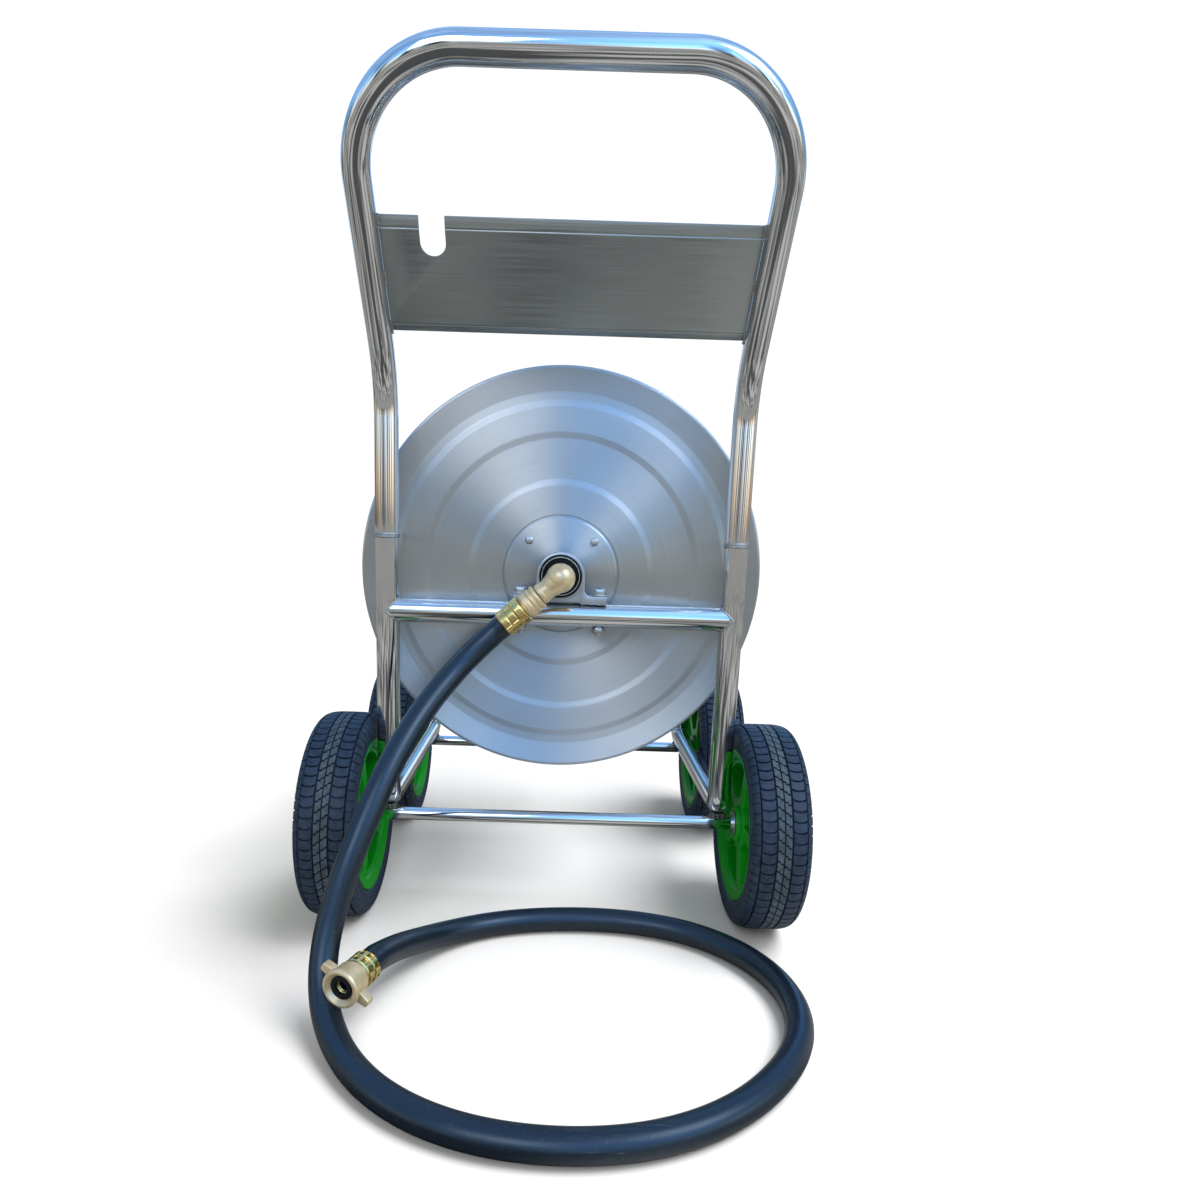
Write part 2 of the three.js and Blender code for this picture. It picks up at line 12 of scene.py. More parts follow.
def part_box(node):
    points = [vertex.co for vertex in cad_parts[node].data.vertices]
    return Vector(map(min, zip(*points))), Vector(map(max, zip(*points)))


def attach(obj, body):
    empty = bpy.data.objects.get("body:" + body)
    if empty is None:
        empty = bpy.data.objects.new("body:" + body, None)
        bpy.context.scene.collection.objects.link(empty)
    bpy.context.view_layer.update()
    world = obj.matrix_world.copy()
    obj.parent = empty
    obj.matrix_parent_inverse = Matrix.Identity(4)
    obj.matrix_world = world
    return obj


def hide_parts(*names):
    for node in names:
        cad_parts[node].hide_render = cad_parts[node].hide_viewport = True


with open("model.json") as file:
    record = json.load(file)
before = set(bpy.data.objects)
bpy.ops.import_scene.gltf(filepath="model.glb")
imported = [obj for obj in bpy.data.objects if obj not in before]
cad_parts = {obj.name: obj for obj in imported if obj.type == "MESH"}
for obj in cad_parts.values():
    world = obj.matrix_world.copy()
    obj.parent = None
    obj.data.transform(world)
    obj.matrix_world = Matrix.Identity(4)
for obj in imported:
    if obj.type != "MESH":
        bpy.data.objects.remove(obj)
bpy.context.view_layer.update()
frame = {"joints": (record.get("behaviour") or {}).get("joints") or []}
JOINTS = {joint["name"]: joint for joint in frame["joints"]}

# ---------------------------------------------------------------- places from the frame
MM = 0.001
GAP = 0.3 * MM


def joint_at(name):
    return Vector(JOINTS[name]["pos_m"])


def middle(node):
    low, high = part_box(node)
    return (low + high) / 2


def extent(node):
    low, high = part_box(node)
    return high - low


NEAR_Y = joint_at("near_left_wheel_spin").y
FAR_Y = joint_at("far_left_wheel_spin").y
WHEEL_R = joint_at("near_left_wheel_spin").z
WHEEL_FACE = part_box("near_right_tyre")[0].x
WHEEL_W = extent("near_right_tyre").x
REEL_Z = joint_at("reel_spin").z
FRAME_HALF = middle("right_base_rail").x
TUBE_R = extent("near_cross_tube").z / 2
AXLE_R = extent("near_axle").z / 2
RAIL_Z = middle("left_base_rail").z
CROSS_Z = middle("near_cross_tube").z
JOINT_Z = middle("left_weld_ring").z
FAR_TOP_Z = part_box("far_left_cap")[0].z
DISC_R = extent("near_disc").z / 2
SIDES = (("left", -1), ("right", 1))
ENDS = (("near", NEAR_Y), ("far", FAR_Y))

# The handle's bends, the same as in the CAD part.
BEND_Z = 0.654
LEAN = math.radians(37.2)
LEAN_LENGTH = 0.308
BEND_R = 0.135
CORNER_R = 0.106

# The inlet elbow and the coupling on the hose's far end.
HOSE_R = 0.014
ELBOW = Vector((0, NEAR_Y - 0.042, REEL_Z))
ELBOW_DROP = math.radians(41)
HOSE_START = 0.0855
COUPLING_MOUTH = Vector((-0.196, NEAR_Y - 0.287, 0.060))
COUPLING_YAW = math.radians(20.2)
COUPLING_LENGTH = 0.0469


# ---------------------------------------------------------------- camera
def make_camera():
    """Stands where the photographer stood: at the handle's side, looking slightly down."""
    data = bpy.data.cameras.new("camera")
    data.sensor_width = 36
    data.lens = 24.23
    data.shift_x = 0.0352
    data.shift_y = 0.0594
    camera = bpy.data.objects.new("camera", data)
    stand = (0, -1.1140, 0.4992)
    pitch, roll = 0.1856, 0.0307
    ahead = Vector((0, math.cos(pitch), -math.sin(pitch)))
    right = Vector((1, 0, 0))
    up = right.cross(ahead)
    across = right * math.cos(roll) + up * math.sin(roll)
    upward = up * math.cos(roll) - right * math.sin(roll)
    turn = Matrix((across, upward, -ahead)).transposed().to_4x4()
    camera.matrix_world = Matrix.Translation(stand) @ turn
    bpy.context.scene.collection.objects.link(camera)
    bpy.context.scene.camera = camera


# ---------------------------------------------------------------- mesh helpers
def mesh_object(name, verts, faces, sharp=35, matrix=None, uv=None):
    """A smooth-shaded mesh with sharp edges above an angle, its faces pointing out."""
    mesh = bpy.data.meshes.new(name)
    mesh.from_pydata([tuple(v) for v in verts], [], faces)
    if uv:
        layer = mesh.uv_layers.new(name="along")
        for polygon, corners in zip(mesh.polygons, uv):
            if corners and len(corners) == polygon.loop_total:
                for loop, corner in zip(polygon.loop_indices, corners):
                    layer.data[loop].uv = corner
    tidy_mesh(mesh, sharp)
    return placed(name, mesh, matrix)


def tidy_mesh(mesh, sharp=35):
    bm = bmesh.new()
    bm.from_mesh(mesh)
    bmesh.ops.remove_doubles(bm, verts=bm.verts, dist=1e-7)
    bmesh.ops.dissolve_degenerate(bm, edges=bm.edges, dist=1e-7)
    bmesh.ops.recalc_face_normals(bm, faces=bm.faces)
    bm.to_mesh(mesh)
    bm.free()
    mesh.shade_smooth()
    mesh.set_sharp_from_angle(angle=math.radians(sharp))


def placed(name, mesh, matrix=None):
    obj = bpy.data.objects.new(name, mesh)
    bpy.context.scene.collection.objects.link(obj)
    if matrix is not None:
        obj.matrix_world = matrix
    return obj


def applied(obj, sharp=35):
    """The object with its modifiers made part of its mesh."""
    graph = bpy.context.evaluated_depsgraph_get()
    mesh = bpy.data.meshes.new_from_object(obj.evaluated_get(graph))
    obj.modifiers.clear()
    if obj.type != "MESH":
        new = placed(obj.name, mesh, obj.matrix_world.copy())
        bpy.data.objects.remove(obj)
        obj = new
    obj.data = mesh
    tidy_mesh(mesh, sharp)
    return obj


def bevelled(obj, width, segments=3, angle=35):
    bevel = obj.modifiers.new("bevel", "BEVEL")
    bevel.width = width
    bevel.segments = segments
    bevel.limit_method = "ANGLE"
    bevel.angle_limit = math.radians(angle)
    return applied(obj)


def without(obj, *cutters):
    """The object with other objects cut out of it, and those removed."""
    for cutter in cutters:
        boolean = obj.modifiers.new("cut", "BOOLEAN")
        boolean.operation = "DIFFERENCE"
        boolean.solver = "EXACT"
        boolean.object = cutter
    obj = applied(obj)
    for cutter in cutters:
        bpy.data.objects.remove(cutter)
    return obj


def joined(name, objects):
    """One object from several, in the first one's place."""
    verts, faces, slots = [], [], []
    base = objects[0].matrix_world.copy()
    inverse = base.inverted()
    for obj in objects:
        shift = len(verts)
        turn = inverse @ obj.matrix_world
        verts += [turn @ v.co for v in obj.data.vertices]
        faces += [[shift + i for i in p.vertices] for p in obj.data.polygons]
        slots += [p.material_index for p in obj.data.polygons]
    for obj in objects:
        bpy.data.objects.remove(obj)
    mesh = bpy.data.meshes.new(name)
    mesh.from_pydata([tuple(v) for v in verts], [], faces)
    mesh.polygons.foreach_set("material_index", slots)
    tidy_mesh(mesh)
    return placed(name, mesh, base)


def eased(outline, radius, closed=False, steps=4):
    """A flat outline with its corners rounded, each as far as its sides allow."""
    points = [Vector(p) for p in outline]
    count = len(points)
    result = []
    for i, corner in enumerate(points):
        if not closed and i in (0, count - 1):
            result.append(corner)
            continue
        before = points[i - 1] - corner
        after = points[(i + 1) % count] - corner
        turn = math.pi - before.angle(after)
        if turn < math.radians(4):
            result.append(corner)
            continue
        setback = min(radius * math.tan(turn / 2), 0.45 * before.length, 0.45 * after.length)
        start = corner + before.normalized() * setback
        end = corner + after.normalized() * setback
        for k in range(steps + 1):
            t = k / steps
            result.append(start * (1 - t) ** 2 + corner * 2 * t * (1 - t) + end * t * t)
    return result


def revolve(name, profile, sides=96, matrix=None, closed=False, shape=None, sharp=35):
    """A profile of (radius, height) in metres turned about local Z."""
    angles = [2 * math.pi * k / sides for k in range(sides)]
    verts, rings = [], []
    for r, h in profile:
        if r < 1e-7:
            rings.append([len(verts)] * sides)
            verts.append((0, 0, h))
            continue
        rings.append([len(verts) + k for k in range(sides)])
        for a in angles:
            radius = shape(r, h, a) if shape else r
            verts.append((radius * math.cos(a), radius * math.sin(a), h))
    faces = []
    pairs = list(zip(rings, rings[1:]))
    if closed:
        pairs.append((rings[-1], rings[0]))
    for low, high in pairs:
        for k in range(sides):
            n = (k + 1) % sides
            corners = [low[k], low[n], high[n], high[k]]
            face = [c for i, c in enumerate(corners) if c not in corners[:i]]
            if len(face) > 2:
                faces.append(face)
    return mesh_object(name, verts, faces, sharp, matrix)


def turned(name, outline, ease, sides, matrix=None, hollow=False, shape=None):
    """A turned piece from (radius, height) in mm, its corners eased. hollow closes the outline."""
    line = eased(mm(outline), ease, hollow)
    return revolve(name, line, sides, matrix, closed=hollow, shape=shape)


def sweep(name, path, radius, sides=48, closed=False, swell=None):
    """A round bar along a path, with flat ends. swell(k) scales the radius at point k."""
    points = [Vector(p) for p in path]
    count = len(points)
    tangents = []
    for i in range(count):
        ahead = points[(i + 1) % count] if closed or i < count - 1 else points[i]
        behind = points[i - 1] if closed or i > 0 else points[i]
        tangents.append((ahead - behind).normalized())
    seed = Vector((0, 0, 1)) if abs(tangents[0].z) < 0.9 else Vector((0, 1, 0))
    normal = (seed - tangents[0] * seed.dot(tangents[0])).normalized()
    verts, faces = [], []
    for i, (point, tangent) in enumerate(zip(points, tangents)):
        if i:
            normal = tangents[i - 1].rotation_difference(tangent) @ normal
        other = tangent.cross(normal)
        r = radius * (swell(i) if swell else 1)
        for k in range(sides):
            a = 2 * math.pi * k / sides
            verts.append(point + (normal * math.cos(a) + other * math.sin(a)) * r)
    for i in range(count if closed else count - 1):
        n = (i + 1) % count
        for k in range(sides):
            m = (k + 1) % sides
            faces.append([i * sides + k, i * sides + m, n * sides + m, n * sides + k])
    if not closed:
        faces.append(list(range(sides))[::-1])
        faces.append([(count - 1) * sides + k for k in range(sides)])
    return mesh_object(name, verts, faces, uv=unrolled(points, radius, sides, len(faces)))


def unrolled(points, radius, sides, total):
    """For each face of a sweep, its corners laid flat in metres: round the bar, and along it."""
    along = [0.0]
    for a, b in zip(points, points[1:] + points[:1]):
        along.append(along[-1] + (b - a).length)
    step = 2 * math.pi * radius / sides
    corners = []
    for face in range(total):
        i, k = divmod(face, sides)
        if i >= len(along) - 1:
            corners.append(None)
            continue
        low, high = along[i], along[i + 1]
        left, right = k * step, (k + 1) * step
        corners.append([(left, low), (right, low), (right, high), (left, high)])
    return corners


def plate(name, outline, depth, matrix=None):
    """A flat outline in local x-y, given a thickness along +Z."""
    count = len(outline)
    verts = [(p[0], p[1], 0) for p in outline] + [(p[0], p[1], depth) for p in outline]
    faces = [list(range(count))[::-1], list(range(count, 2 * count))]
    for i in range(count):
        n = (i + 1) % count
        faces.append([i, n, n + count, i + count])
    return mesh_object(name, verts, faces, matrix=matrix)


def block(name, low, high, matrix=None):
    (x0, y0, z0), (x1, y1, z1) = low, high
    outline = [(x0, y0), (x1, y0), (x1, y1), (x0, y1)]
    shift = Matrix.Translation((0, 0, z0))
    return plate(name, outline, z1 - z0, shift if matrix is None else matrix @ shift)


def circle(radius, sides, centre=(0, 0), start=0.0):
    steps = [start + 2 * math.pi * k / sides for k in range(sides)]
    return [(centre[0] + radius * math.cos(a), centre[1] + radius * math.sin(a)) for a in steps]


def mm(points):
    return [tuple(c * MM for c in p) for p in points]


def rounded_path(corners, radii, step=math.radians(3)):
    """Points along straight runs whose corners are rounded to the radii given."""
    points = [Vector(c) for c in corners]
    path = [points[0]]
    for i, radius in enumerate(radii, start=1):
        before = (points[i] - points[i - 1]).normalized()
        after = (points[i + 1] - points[i]).normalized()
        angle = before.angle(after)
        axis = before.cross(after).normalized()
        start = points[i] - before * radius * math.tan(angle / 2)
        centre = start + axis.cross(before) * radius
        count = math.ceil(angle / step)
        for k in range(count + 1):
            turn = Matrix.Rotation(angle * k / count, 3, axis)
            path.append(centre + turn @ (start - centre))
    path.append(points[-1])
    return path


ALONG_X = Matrix.Rotation(math.pi / 2, 4, "Y")
ALONG_MINUS_X = Matrix.Rotation(-math.pi / 2, 4, "Y")
ALONG_Y = Matrix.Rotation(-math.pi / 2, 4, "X")
ALONG_MINUS_Y = Matrix.Rotation(math.pi / 2, 4, "X")


def at(x, y, z, turn=None):
    place = Matrix.Translation((x, y, z))
    return place if turn is None else place @ turn


# ---------------------------------------------------------------- materials
class Shader:
    """A Principled material and short ways to add nodes to it."""

    def __init__(self, name, color, roughness, metallic=0.0, **inputs):
        self.material = bpy.data.materials.new(name)
        self.material.use_nodes = True
        self.material.diffuse_color = (*color, 1)
        self.tree = self.material.node_tree
        self.bsdf = self.tree.nodes["Principled BSDF"]
        self.bsdf.inputs["Base Color"].default_value = (*color, 1)
        self.bsdf.inputs["Roughness"].default_value = roughness
        self.bsdf.inputs["Metallic"].default_value = metallic
        for key, value in inputs.items():
            self.bsdf.inputs[key.replace("_", " ")].default_value = value

    def node(self, kind, **values):
        node = self.tree.nodes.new(kind)
        for key, value in values.items():
            setattr(node, key, value)
        return node

    def link(self, source, target):
        self.tree.links.new(source, target)

    def place(self, scale, source="Object"):
        """Object or UV coordinates, stretched."""
        coordinates = self.node("ShaderNodeTexCoord")
        mapping = self.node("ShaderNodeMapping")
        mapping.inputs["Scale"].default_value = scale
        self.link(coordinates.outputs[source], mapping.inputs["Vector"])
        return mapping.outputs["Vector"]

    def noise(self, vector, scale, detail=3.0, roughness=0.5):
        noise = self.node("ShaderNodeTexNoise")
        noise.inputs["Scale"].default_value = scale
        noise.inputs["Detail"].default_value = detail
        noise.inputs["Roughness"].default_value = roughness
        self.link(vector, noise.inputs["Vector"])
        return noise.outputs["Fac"]

    def grain(self, scale, detail=3.0, roughness=0.5):
        """Noise that is the same in every direction."""
        return self.noise(self.place((1, 1, 1)), scale, detail, roughness)

    def spread(self, value, low, high, start=0.3, end=0.7):
        """A 0-1 pattern mapped to a range of numbers."""
        ranged = self.node("ShaderNodeMapRange")
        ranged.inputs["From Min"].default_value = start
        ranged.inputs["From Max"].default_value = end
        ranged.inputs["To Min"].default_value = low
        ranged.inputs["To Max"].default_value = high
        self.link(value, ranged.inputs["Value"])
        return ranged.outputs["Result"]

    def tint(self, value, dark, light):
        """A 0-1 pattern turned into colours between two, on the base colour."""
        mix = self.node("ShaderNodeMix", data_type="RGBA")
        mix.inputs[6].default_value = (*dark, 1)
        mix.inputs[7].default_value = (*light, 1)
        self.link(value, mix.inputs["Factor"])
        self.link(mix.outputs[2], self.bsdf.inputs["Base Color"])

    def rough(self, value):
        self.link(value, self.bsdf.inputs["Roughness"])

    def bump(self, value, distance, strength=1.0, onto=None):
        bump = self.node("ShaderNodeBump")
        bump.inputs["Distance"].default_value = distance
        bump.inputs["Strength"].default_value = strength
        self.link(value, bump.inputs["Height"])
        if onto is not None:
            self.link(onto, bump.inputs["Normal"])
        self.link(bump.outputs["Normal"], self.bsdf.inputs["Normal"])
        return bump.outputs["Normal"]


def shaded(color, factor):
    return tuple(min(1.0, c * factor) for c in color)


def polished_steel(name, grain, source="Object"):
    """Mirror-polished tube. grain stretches the polishing lines along the tube."""
    color = (0.74, 0.745, 0.74)
    shader = Shader(name, color, 0.09, metallic=1.0)
    lines = shader.noise(shader.place(grain, source), 700, 2)
    smears = shader.grain(9, 3)
    shader.rough(shader.spread(smears, 0.045, 0.13))
    shader.tint(shader.spread(smears, 0, 1), shaded(color, 0.95), color)
    waves = shader.grain(20, 1)
    wavy = shader.bump(waves, 0.0008, 0.035)
    shader.bump(lines, 0.00004, 0.08, onto=wavy)
    return shader.material


def spun_steel(name):
    """Sheet brushed in circles about the reel's axis, which is local Z."""
    color = (0.59, 0.615, 0.62)
    shader = Shader(name, color, 0.4, metallic=1.0, Anisotropic=0.95, Anisotropic_Rotation=0.25)
    tangent = shader.node("ShaderNodeTangent", direction_type="RADIAL", axis="Z")
    shader.link(tangent.outputs["Tangent"], shader.bsdf.inputs["Tangent"])
    coordinates = shader.node("ShaderNodeTexCoord")
    flat = shader.node("ShaderNodeVectorMath", operation="MULTIPLY")
    flat.inputs[1].default_value = (1, 1, 0)
    shader.link(coordinates.outputs["Object"], flat.inputs[0])
    length = shader.node("ShaderNodeVectorMath", operation="LENGTH")
    shader.link(flat.outputs["Vector"], length.inputs[0])
    around = shader.node("ShaderNodeVectorMath", operation="NORMALIZE")
    shader.link(flat.outputs["Vector"], around.inputs[0])
    radius = shader.node("ShaderNodeMath", operation="MULTIPLY")
    radius.inputs[1].default_value = 900
    shader.link(length.outputs["Value"], radius.inputs[0])
    up = shader.node("ShaderNodeCombineXYZ")
    shader.link(radius.outputs["Value"], up.inputs["Z"])
    ringed = shader.node("ShaderNodeVectorMath", operation="ADD")
    shader.link(around.outputs["Vector"], ringed.inputs[0])
    shader.link(up.outputs["Vector"], ringed.inputs[1])
    fine = shader.noise(ringed.outputs["Vector"], 1.1, 3, 0.5)
    clouds = shader.grain(11, 3)
    shader.rough(shader.spread(fine, 0.34, 0.45))
    both = shader.node("ShaderNodeMath", operation="MULTIPLY")
    shader.link(shader.spread(clouds, 0.6, 1), both.inputs[0])
    shader.link(shader.spread(fine, 0.5, 1), both.inputs[1])
    shader.tint(both.outputs["Value"], shaded(color, 0.84), shaded(color, 1.1))
    shader.bump(fine, 0.00012, 0.5)
    return shader.material


def brushed_steel(name, grain):
    """Sheet brushed in straight lines. grain is small along the lines."""
    color = (0.43, 0.46, 0.455)
    shader = Shader(name, color, 0.36, metallic=1.0)
    fine = shader.noise(shader.place(grain), 900, 4, 0.6)
    clouds = shader.grain(14, 3)
    shader.rough(shader.spread(fine, 0.28, 0.46))
    shader.tint(shader.spread(fine, 0, 1), shaded(color, 0.86), shaded(color, 1.12))
    dents = shader.bump(clouds, 0.0012, 0.12)
    shader.bump(fine, 0.00005, 0.35, onto=dents)
    return shader.material


def dull_metal(name, color, low, high, scale=60, depth=0.0002):
    """Cast, plated or welded metal with a grainy surface."""
    shader = Shader(name, color, (low + high) / 2, metallic=1.0)
    grain = shader.grain(scale * 10, 3)
    clouds = shader.grain(scale, 3)
    shader.rough(shader.spread(clouds, low, high))
    shader.tint(shader.spread(clouds, 0, 1), shaded(color, 0.84), shaded(color, 1.08))
    shader.bump(grain, depth, 0.35)
    return shader.material


def cast_brass(name):
    """Sand-cast brass, tumbled to a pale matt skin that scatters light."""
    color = (0.73, 0.60, 0.37)
    shader = Shader(name, color, 0.36, metallic=0.62, Specular_IOR_Level=0.6)
    skin = shader.grain(1100, 3)
    clouds = shader.grain(90, 3)
    shader.rough(shader.spread(clouds, 0.3, 0.46))
    shader.tint(shader.spread(clouds, 0, 1), shaded(color, 0.82), shaded(color, 1.05))
    shader.bump(skin, 0.00018, 0.4)
    return shader.material


def painted_cast(name):
    """The bearing housing's satin grey paint over rough castings."""
    color = (0.40, 0.45, 0.50)
    shader = Shader(name, color, 0.35, metallic=0.75)
    skin = shader.grain(420, 3)
    clouds = shader.grain(40, 3)
    shader.rough(shader.spread(clouds, 0.28, 0.45))
    shader.tint(shader.spread(clouds, 0, 1), shaded(color, 0.85), shaded(color, 1.1))
    shader.bump(skin, 0.0003, 0.35)
    return shader.material


def hose_rubber():
    """Smooth satin rubber with a faint navy cast, dust and rubbed patches."""
    color = (0.0030, 0.0068, 0.0135)
    shader = Shader("hose_rubber", color, 0.33, Specular_IOR_Level=0.85)
    shader.bsdf.inputs["Specular Tint"].default_value = (0.62, 0.78, 0.92, 1)
    clouds = shader.grain(13, 4, 0.6)
    dust = shader.grain(260, 3, 0.7)
    scuffs = shader.noise(shader.place((0.035, 1, 1)), 420, 4, 0.6)
    patches = shader.grain(7, 2)
    rubbed = shader.node("ShaderNodeMath", operation="MULTIPLY")
    shader.link(shader.spread(scuffs, 0, 1, 0.58, 0.74), rubbed.inputs[0])
    shader.link(shader.spread(patches, 0, 1, 0.54, 0.66), rubbed.inputs[1])
    worn = shader.node("ShaderNodeMath", operation="MAXIMUM")
    shader.link(shader.spread(dust, 0, 0.6, 0.6, 0.85), worn.inputs[0])
    shader.link(rubbed.outputs["Value"], worn.inputs[1])
    shader.rough(shader.spread(clouds, 0.28, 0.4))
    shader.tint(worn.outputs["Value"], color, (0.07, 0.085, 0.10))
    soft = shader.bump(clouds, 0.0012, 0.1)
    shader.bump(dust, 0.00012, 0.25, onto=soft)
    return shader.material


def tyre_rubber(name, color, low, high):
    shader = Shader(name, color, (low + high) / 2, Specular_IOR_Level=0.4)
    dust = shader.grain(150, 4, 0.65)
    pores = shader.grain(900, 2)
    shader.rough(shader.spread(dust, low, high))
    shader.tint(shader.spread(dust, 0, 1, 0.4, 0.75), shaded(color, 0.62), shaded(color, 1.5))
    shader.bump(pores, 0.00015, 0.35)
    return shader.material


def moulded_plastic(name, color, low, high):
    shader = Shader(name, color, (low + high) / 2, Specular_IOR_Level=0.2)
    clouds = shader.grain(22, 3)
    skin = shader.grain(650, 2)
    shader.rough(shader.spread(clouds, low, high))
    shader.tint(shader.spread(clouds, 0, 1), shaded(color, 0.9), shaded(color, 1.08))
    shader.bump(skin, 0.0001, 0.25)
    return shader.material


POLISHED_X = polished_steel("polished_steel_along_x", (0.02, 1, 1))
POLISHED_TUBE = polished_steel("polished_steel_tube", (1, 0.02, 1), "UV")
POLISHED_Z = polished_steel("polished_steel_along_z", (1, 1, 0.02))
SPUN = spun_steel("spun_steel")
SHEET_X = brushed_steel("brushed_sheet", (0.012, 1, 1))
WELD = dull_metal("weld_bead", (0.47, 0.46, 0.43), 0.3, 0.55, 120, 0.0004)
ZINC = dull_metal("zinc_plate", (0.62, 0.63, 0.62), 0.2, 0.36)
CAST = painted_cast("cast_housing")
BRASS = cast_brass("satin_brass")
GOLD = dull_metal("polished_brass", (0.84, 0.62, 0.23), 0.17, 0.27, 60, 0.00008)
# Weld of each axle to its rail corner: a real weld, whose dark brown colour is painted shade of the
# narrow gap between the corner and the axle.
GAP_SHADE_WELD = dull_metal("weld_painted_gap_shade", (0.17, 0.14, 0.11), 0.35, 0.6, 120, 0.0004)
HOSE = hose_rubber()
TYRE = tyre_rubber("tyre_rubber", (0.0135, 0.030, 0.058), 0.44, 0.6)
TREAD = tyre_rubber("worn_tread", (0.048, 0.073, 0.098), 0.45, 0.6)
GREEN = moulded_plastic("green_rim", (0.0003, 0.28, 0.008), 0.3, 0.42)
BLACK = moulded_plastic("black_plastic", (0.004, 0.0055, 0.008), 0.35, 0.5)


def piece(obj, body, slot, material, *nodes):
    """Gives a finished piece its material and its body, and hides the CAD nodes that it stands for.
    """
    if material is not None:
        obj.data.materials.clear()
        obj.data.materials.append(material)
    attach(obj, body)
    if nodes:
        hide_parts(*nodes)
    return obj


# ---------------------------------------------------------------- lead-in hose
def hose_points():
    """The route's points from the CAD part: down from the inlet, one loop, and back up."""
    out = Vector((-math.cos(ELBOW_DROP), 0, -math.sin(ELBOW_DROP)))
    start = ELBOW + out * HOSE_START
    back = Vector((math.sin(COUPLING_YAW), math.cos(COUPLING_YAW), 0))
    end = COUPLING_MOUTH + back * (COUPLING_LENGTH + GAP)
    low = HOSE_R + GAP
    route = [
        (-0.107, -0.052, 0.338), (-0.132, -0.077, 0.309), (-0.156, -0.116, 0.276),
        (-0.179, -0.162, 0.229), (-0.199, -0.198, 0.172), (-0.216, -0.220, 0.119),
        (-0.225, -0.240, 0.070), (-0.219, -0.267, 0.034), (-0.197, -0.304, 0.016),
        (-0.161, -0.350, low), (-0.116, -0.386, low), (-0.055, -0.411, low),
        (0.013, -0.419, low), (0.085, -0.411, low), (0.150, -0.383, low),
        (0.207, -0.334, low), (0.247, -0.272, low), (0.257, -0.208, low),
        (0.240, -0.145, low), (0.200, -0.095, low), (0.145, -0.062, low),
        (0.080, -0.048, low), (0.010, -0.048, low), (-0.060, -0.062, 0.0146),
        (-0.115, -0.094, 0.018), (-0.150, -0.143, 0.031), (-0.167, -0.195, 0.051),
    ]
    laid = [Vector((x, y + NEAR_Y, z)) for x, y, z in route]
    return [start, start + out * 0.026, *laid, end + back * 0.014, end]


def smooth_line(points, step):
    """A smooth line through the points, a centripetal Catmull-Rom curve."""
    ends = [points[0] * 2 - points[1], *points, points[-1] * 2 - points[-2]]
    line = []
    for i in range(1, len(ends) - 2):
        p0, p1, p2, p3 = ends[i - 1:i + 3]
        t1 = math.sqrt((p1 - p0).length)
        t2 = t1 + math.sqrt((p2 - p1).length)
        t3 = t2 + math.sqrt((p3 - p2).length)
        count = max(2, round((p2 - p1).length / step))
        for k in range(count):
            t = t1 + (t2 - t1) * k / count
            a1 = p0.lerp(p1, t / t1)
            a2 = p1.lerp(p2, (t - t1) / (t2 - t1))
            a3 = p2.lerp(p3, (t - t2) / (t3 - t2))
            b1 = a1.lerp(a2, t / t2)
            b2 = a2.lerp(a3, (t - t1) / (t3 - t1))
            line.append(b1.lerp(b2, (t - t1) / (t2 - t1)))
    return [*line, points[-1]]


def relaxed(line, rounds, held):
    """The line with its bends evened out, its first and last points held."""
    for _ in range(rounds):
        fresh = list(line)
        for i in range(held, len(line) - held):
            fresh[i] = line[i] * 0.5 + (line[i - 1] + line[i + 1]) * 0.25
        line = fresh
    return line


def lead_in_hose():
    """The hose as a round curve along its smoothed route, kept clear of the floor."""
    points = hose_points()
    line = relaxed(smooth_line(points, 0.006), 60, 3)
    line = [Vector((p.x, p.y, max(p.z, HOSE_R + GAP / 2))) for p in line]
    curve = bpy.data.curves.new("hose_line", "CURVE")
    curve.dimensions = "3D"
    curve.bevel_depth = HOSE_R
    curve.bevel_resolution = 10
    curve.use_fill_caps = True
    spline = curve.splines.new("POLY")
    spline.points.add(len(line) - 1)
    for target, point in zip(spline.points, line):
        target.co = (*point, 1)
    spline.use_smooth = True
    hose = bpy.data.objects.new("lead_in_hose", curve)
    bpy.context.scene.collection.objects.link(hose)
    piece(hose, "frame", "hose_rubber", HOSE, "inlet_hose")
    return hose, points[0]


# ---------------------------------------------------------------- frame tubes
def half_bend(corner, along, towards):
    """The half of a corner's bend that belongs to one tube, ending on the mitre plane."""
    radius, steps = 15.5 * MM, 8
    start = corner + along * radius
    centre = start + towards * radius
    points = []
    for k in range(steps + 1):
        a = math.pi / 4 * k / steps
        points.append(centre - towards * radius * math.cos(a) - along * radius * math.sin(a))
    return points


def weld_bead(name, path, radius, closed=True, material=None):
    """A bead along a seam, with the ripples that a torch leaves."""
    def swell(k):
        return 1 + 0.16 * math.sin(k * 1.9) + 0.08 * math.sin(k * 0.7 + 1)

    bead = sweep(name, path, radius, 12, closed, swell)
    return piece(bead, "frame", "weld_steel", material or WELD)


def saddle_path(centre, axis, radius):
    """Where a tube of the frame's size meets an upright: round x at the upright's side."""
    path, sides = [], 72
    for k in range(sides):
        a = 2 * math.pi * k / sides
        y, z = radius * math.cos(a), radius * math.sin(a)
        depth = math.sqrt(max(TUBE_R ** 2 - min(abs(y), TUBE_R) ** 2, 0))
        path.append(Vector((centre.x - axis * depth, centre.y + y, centre.z + z)))
    return path


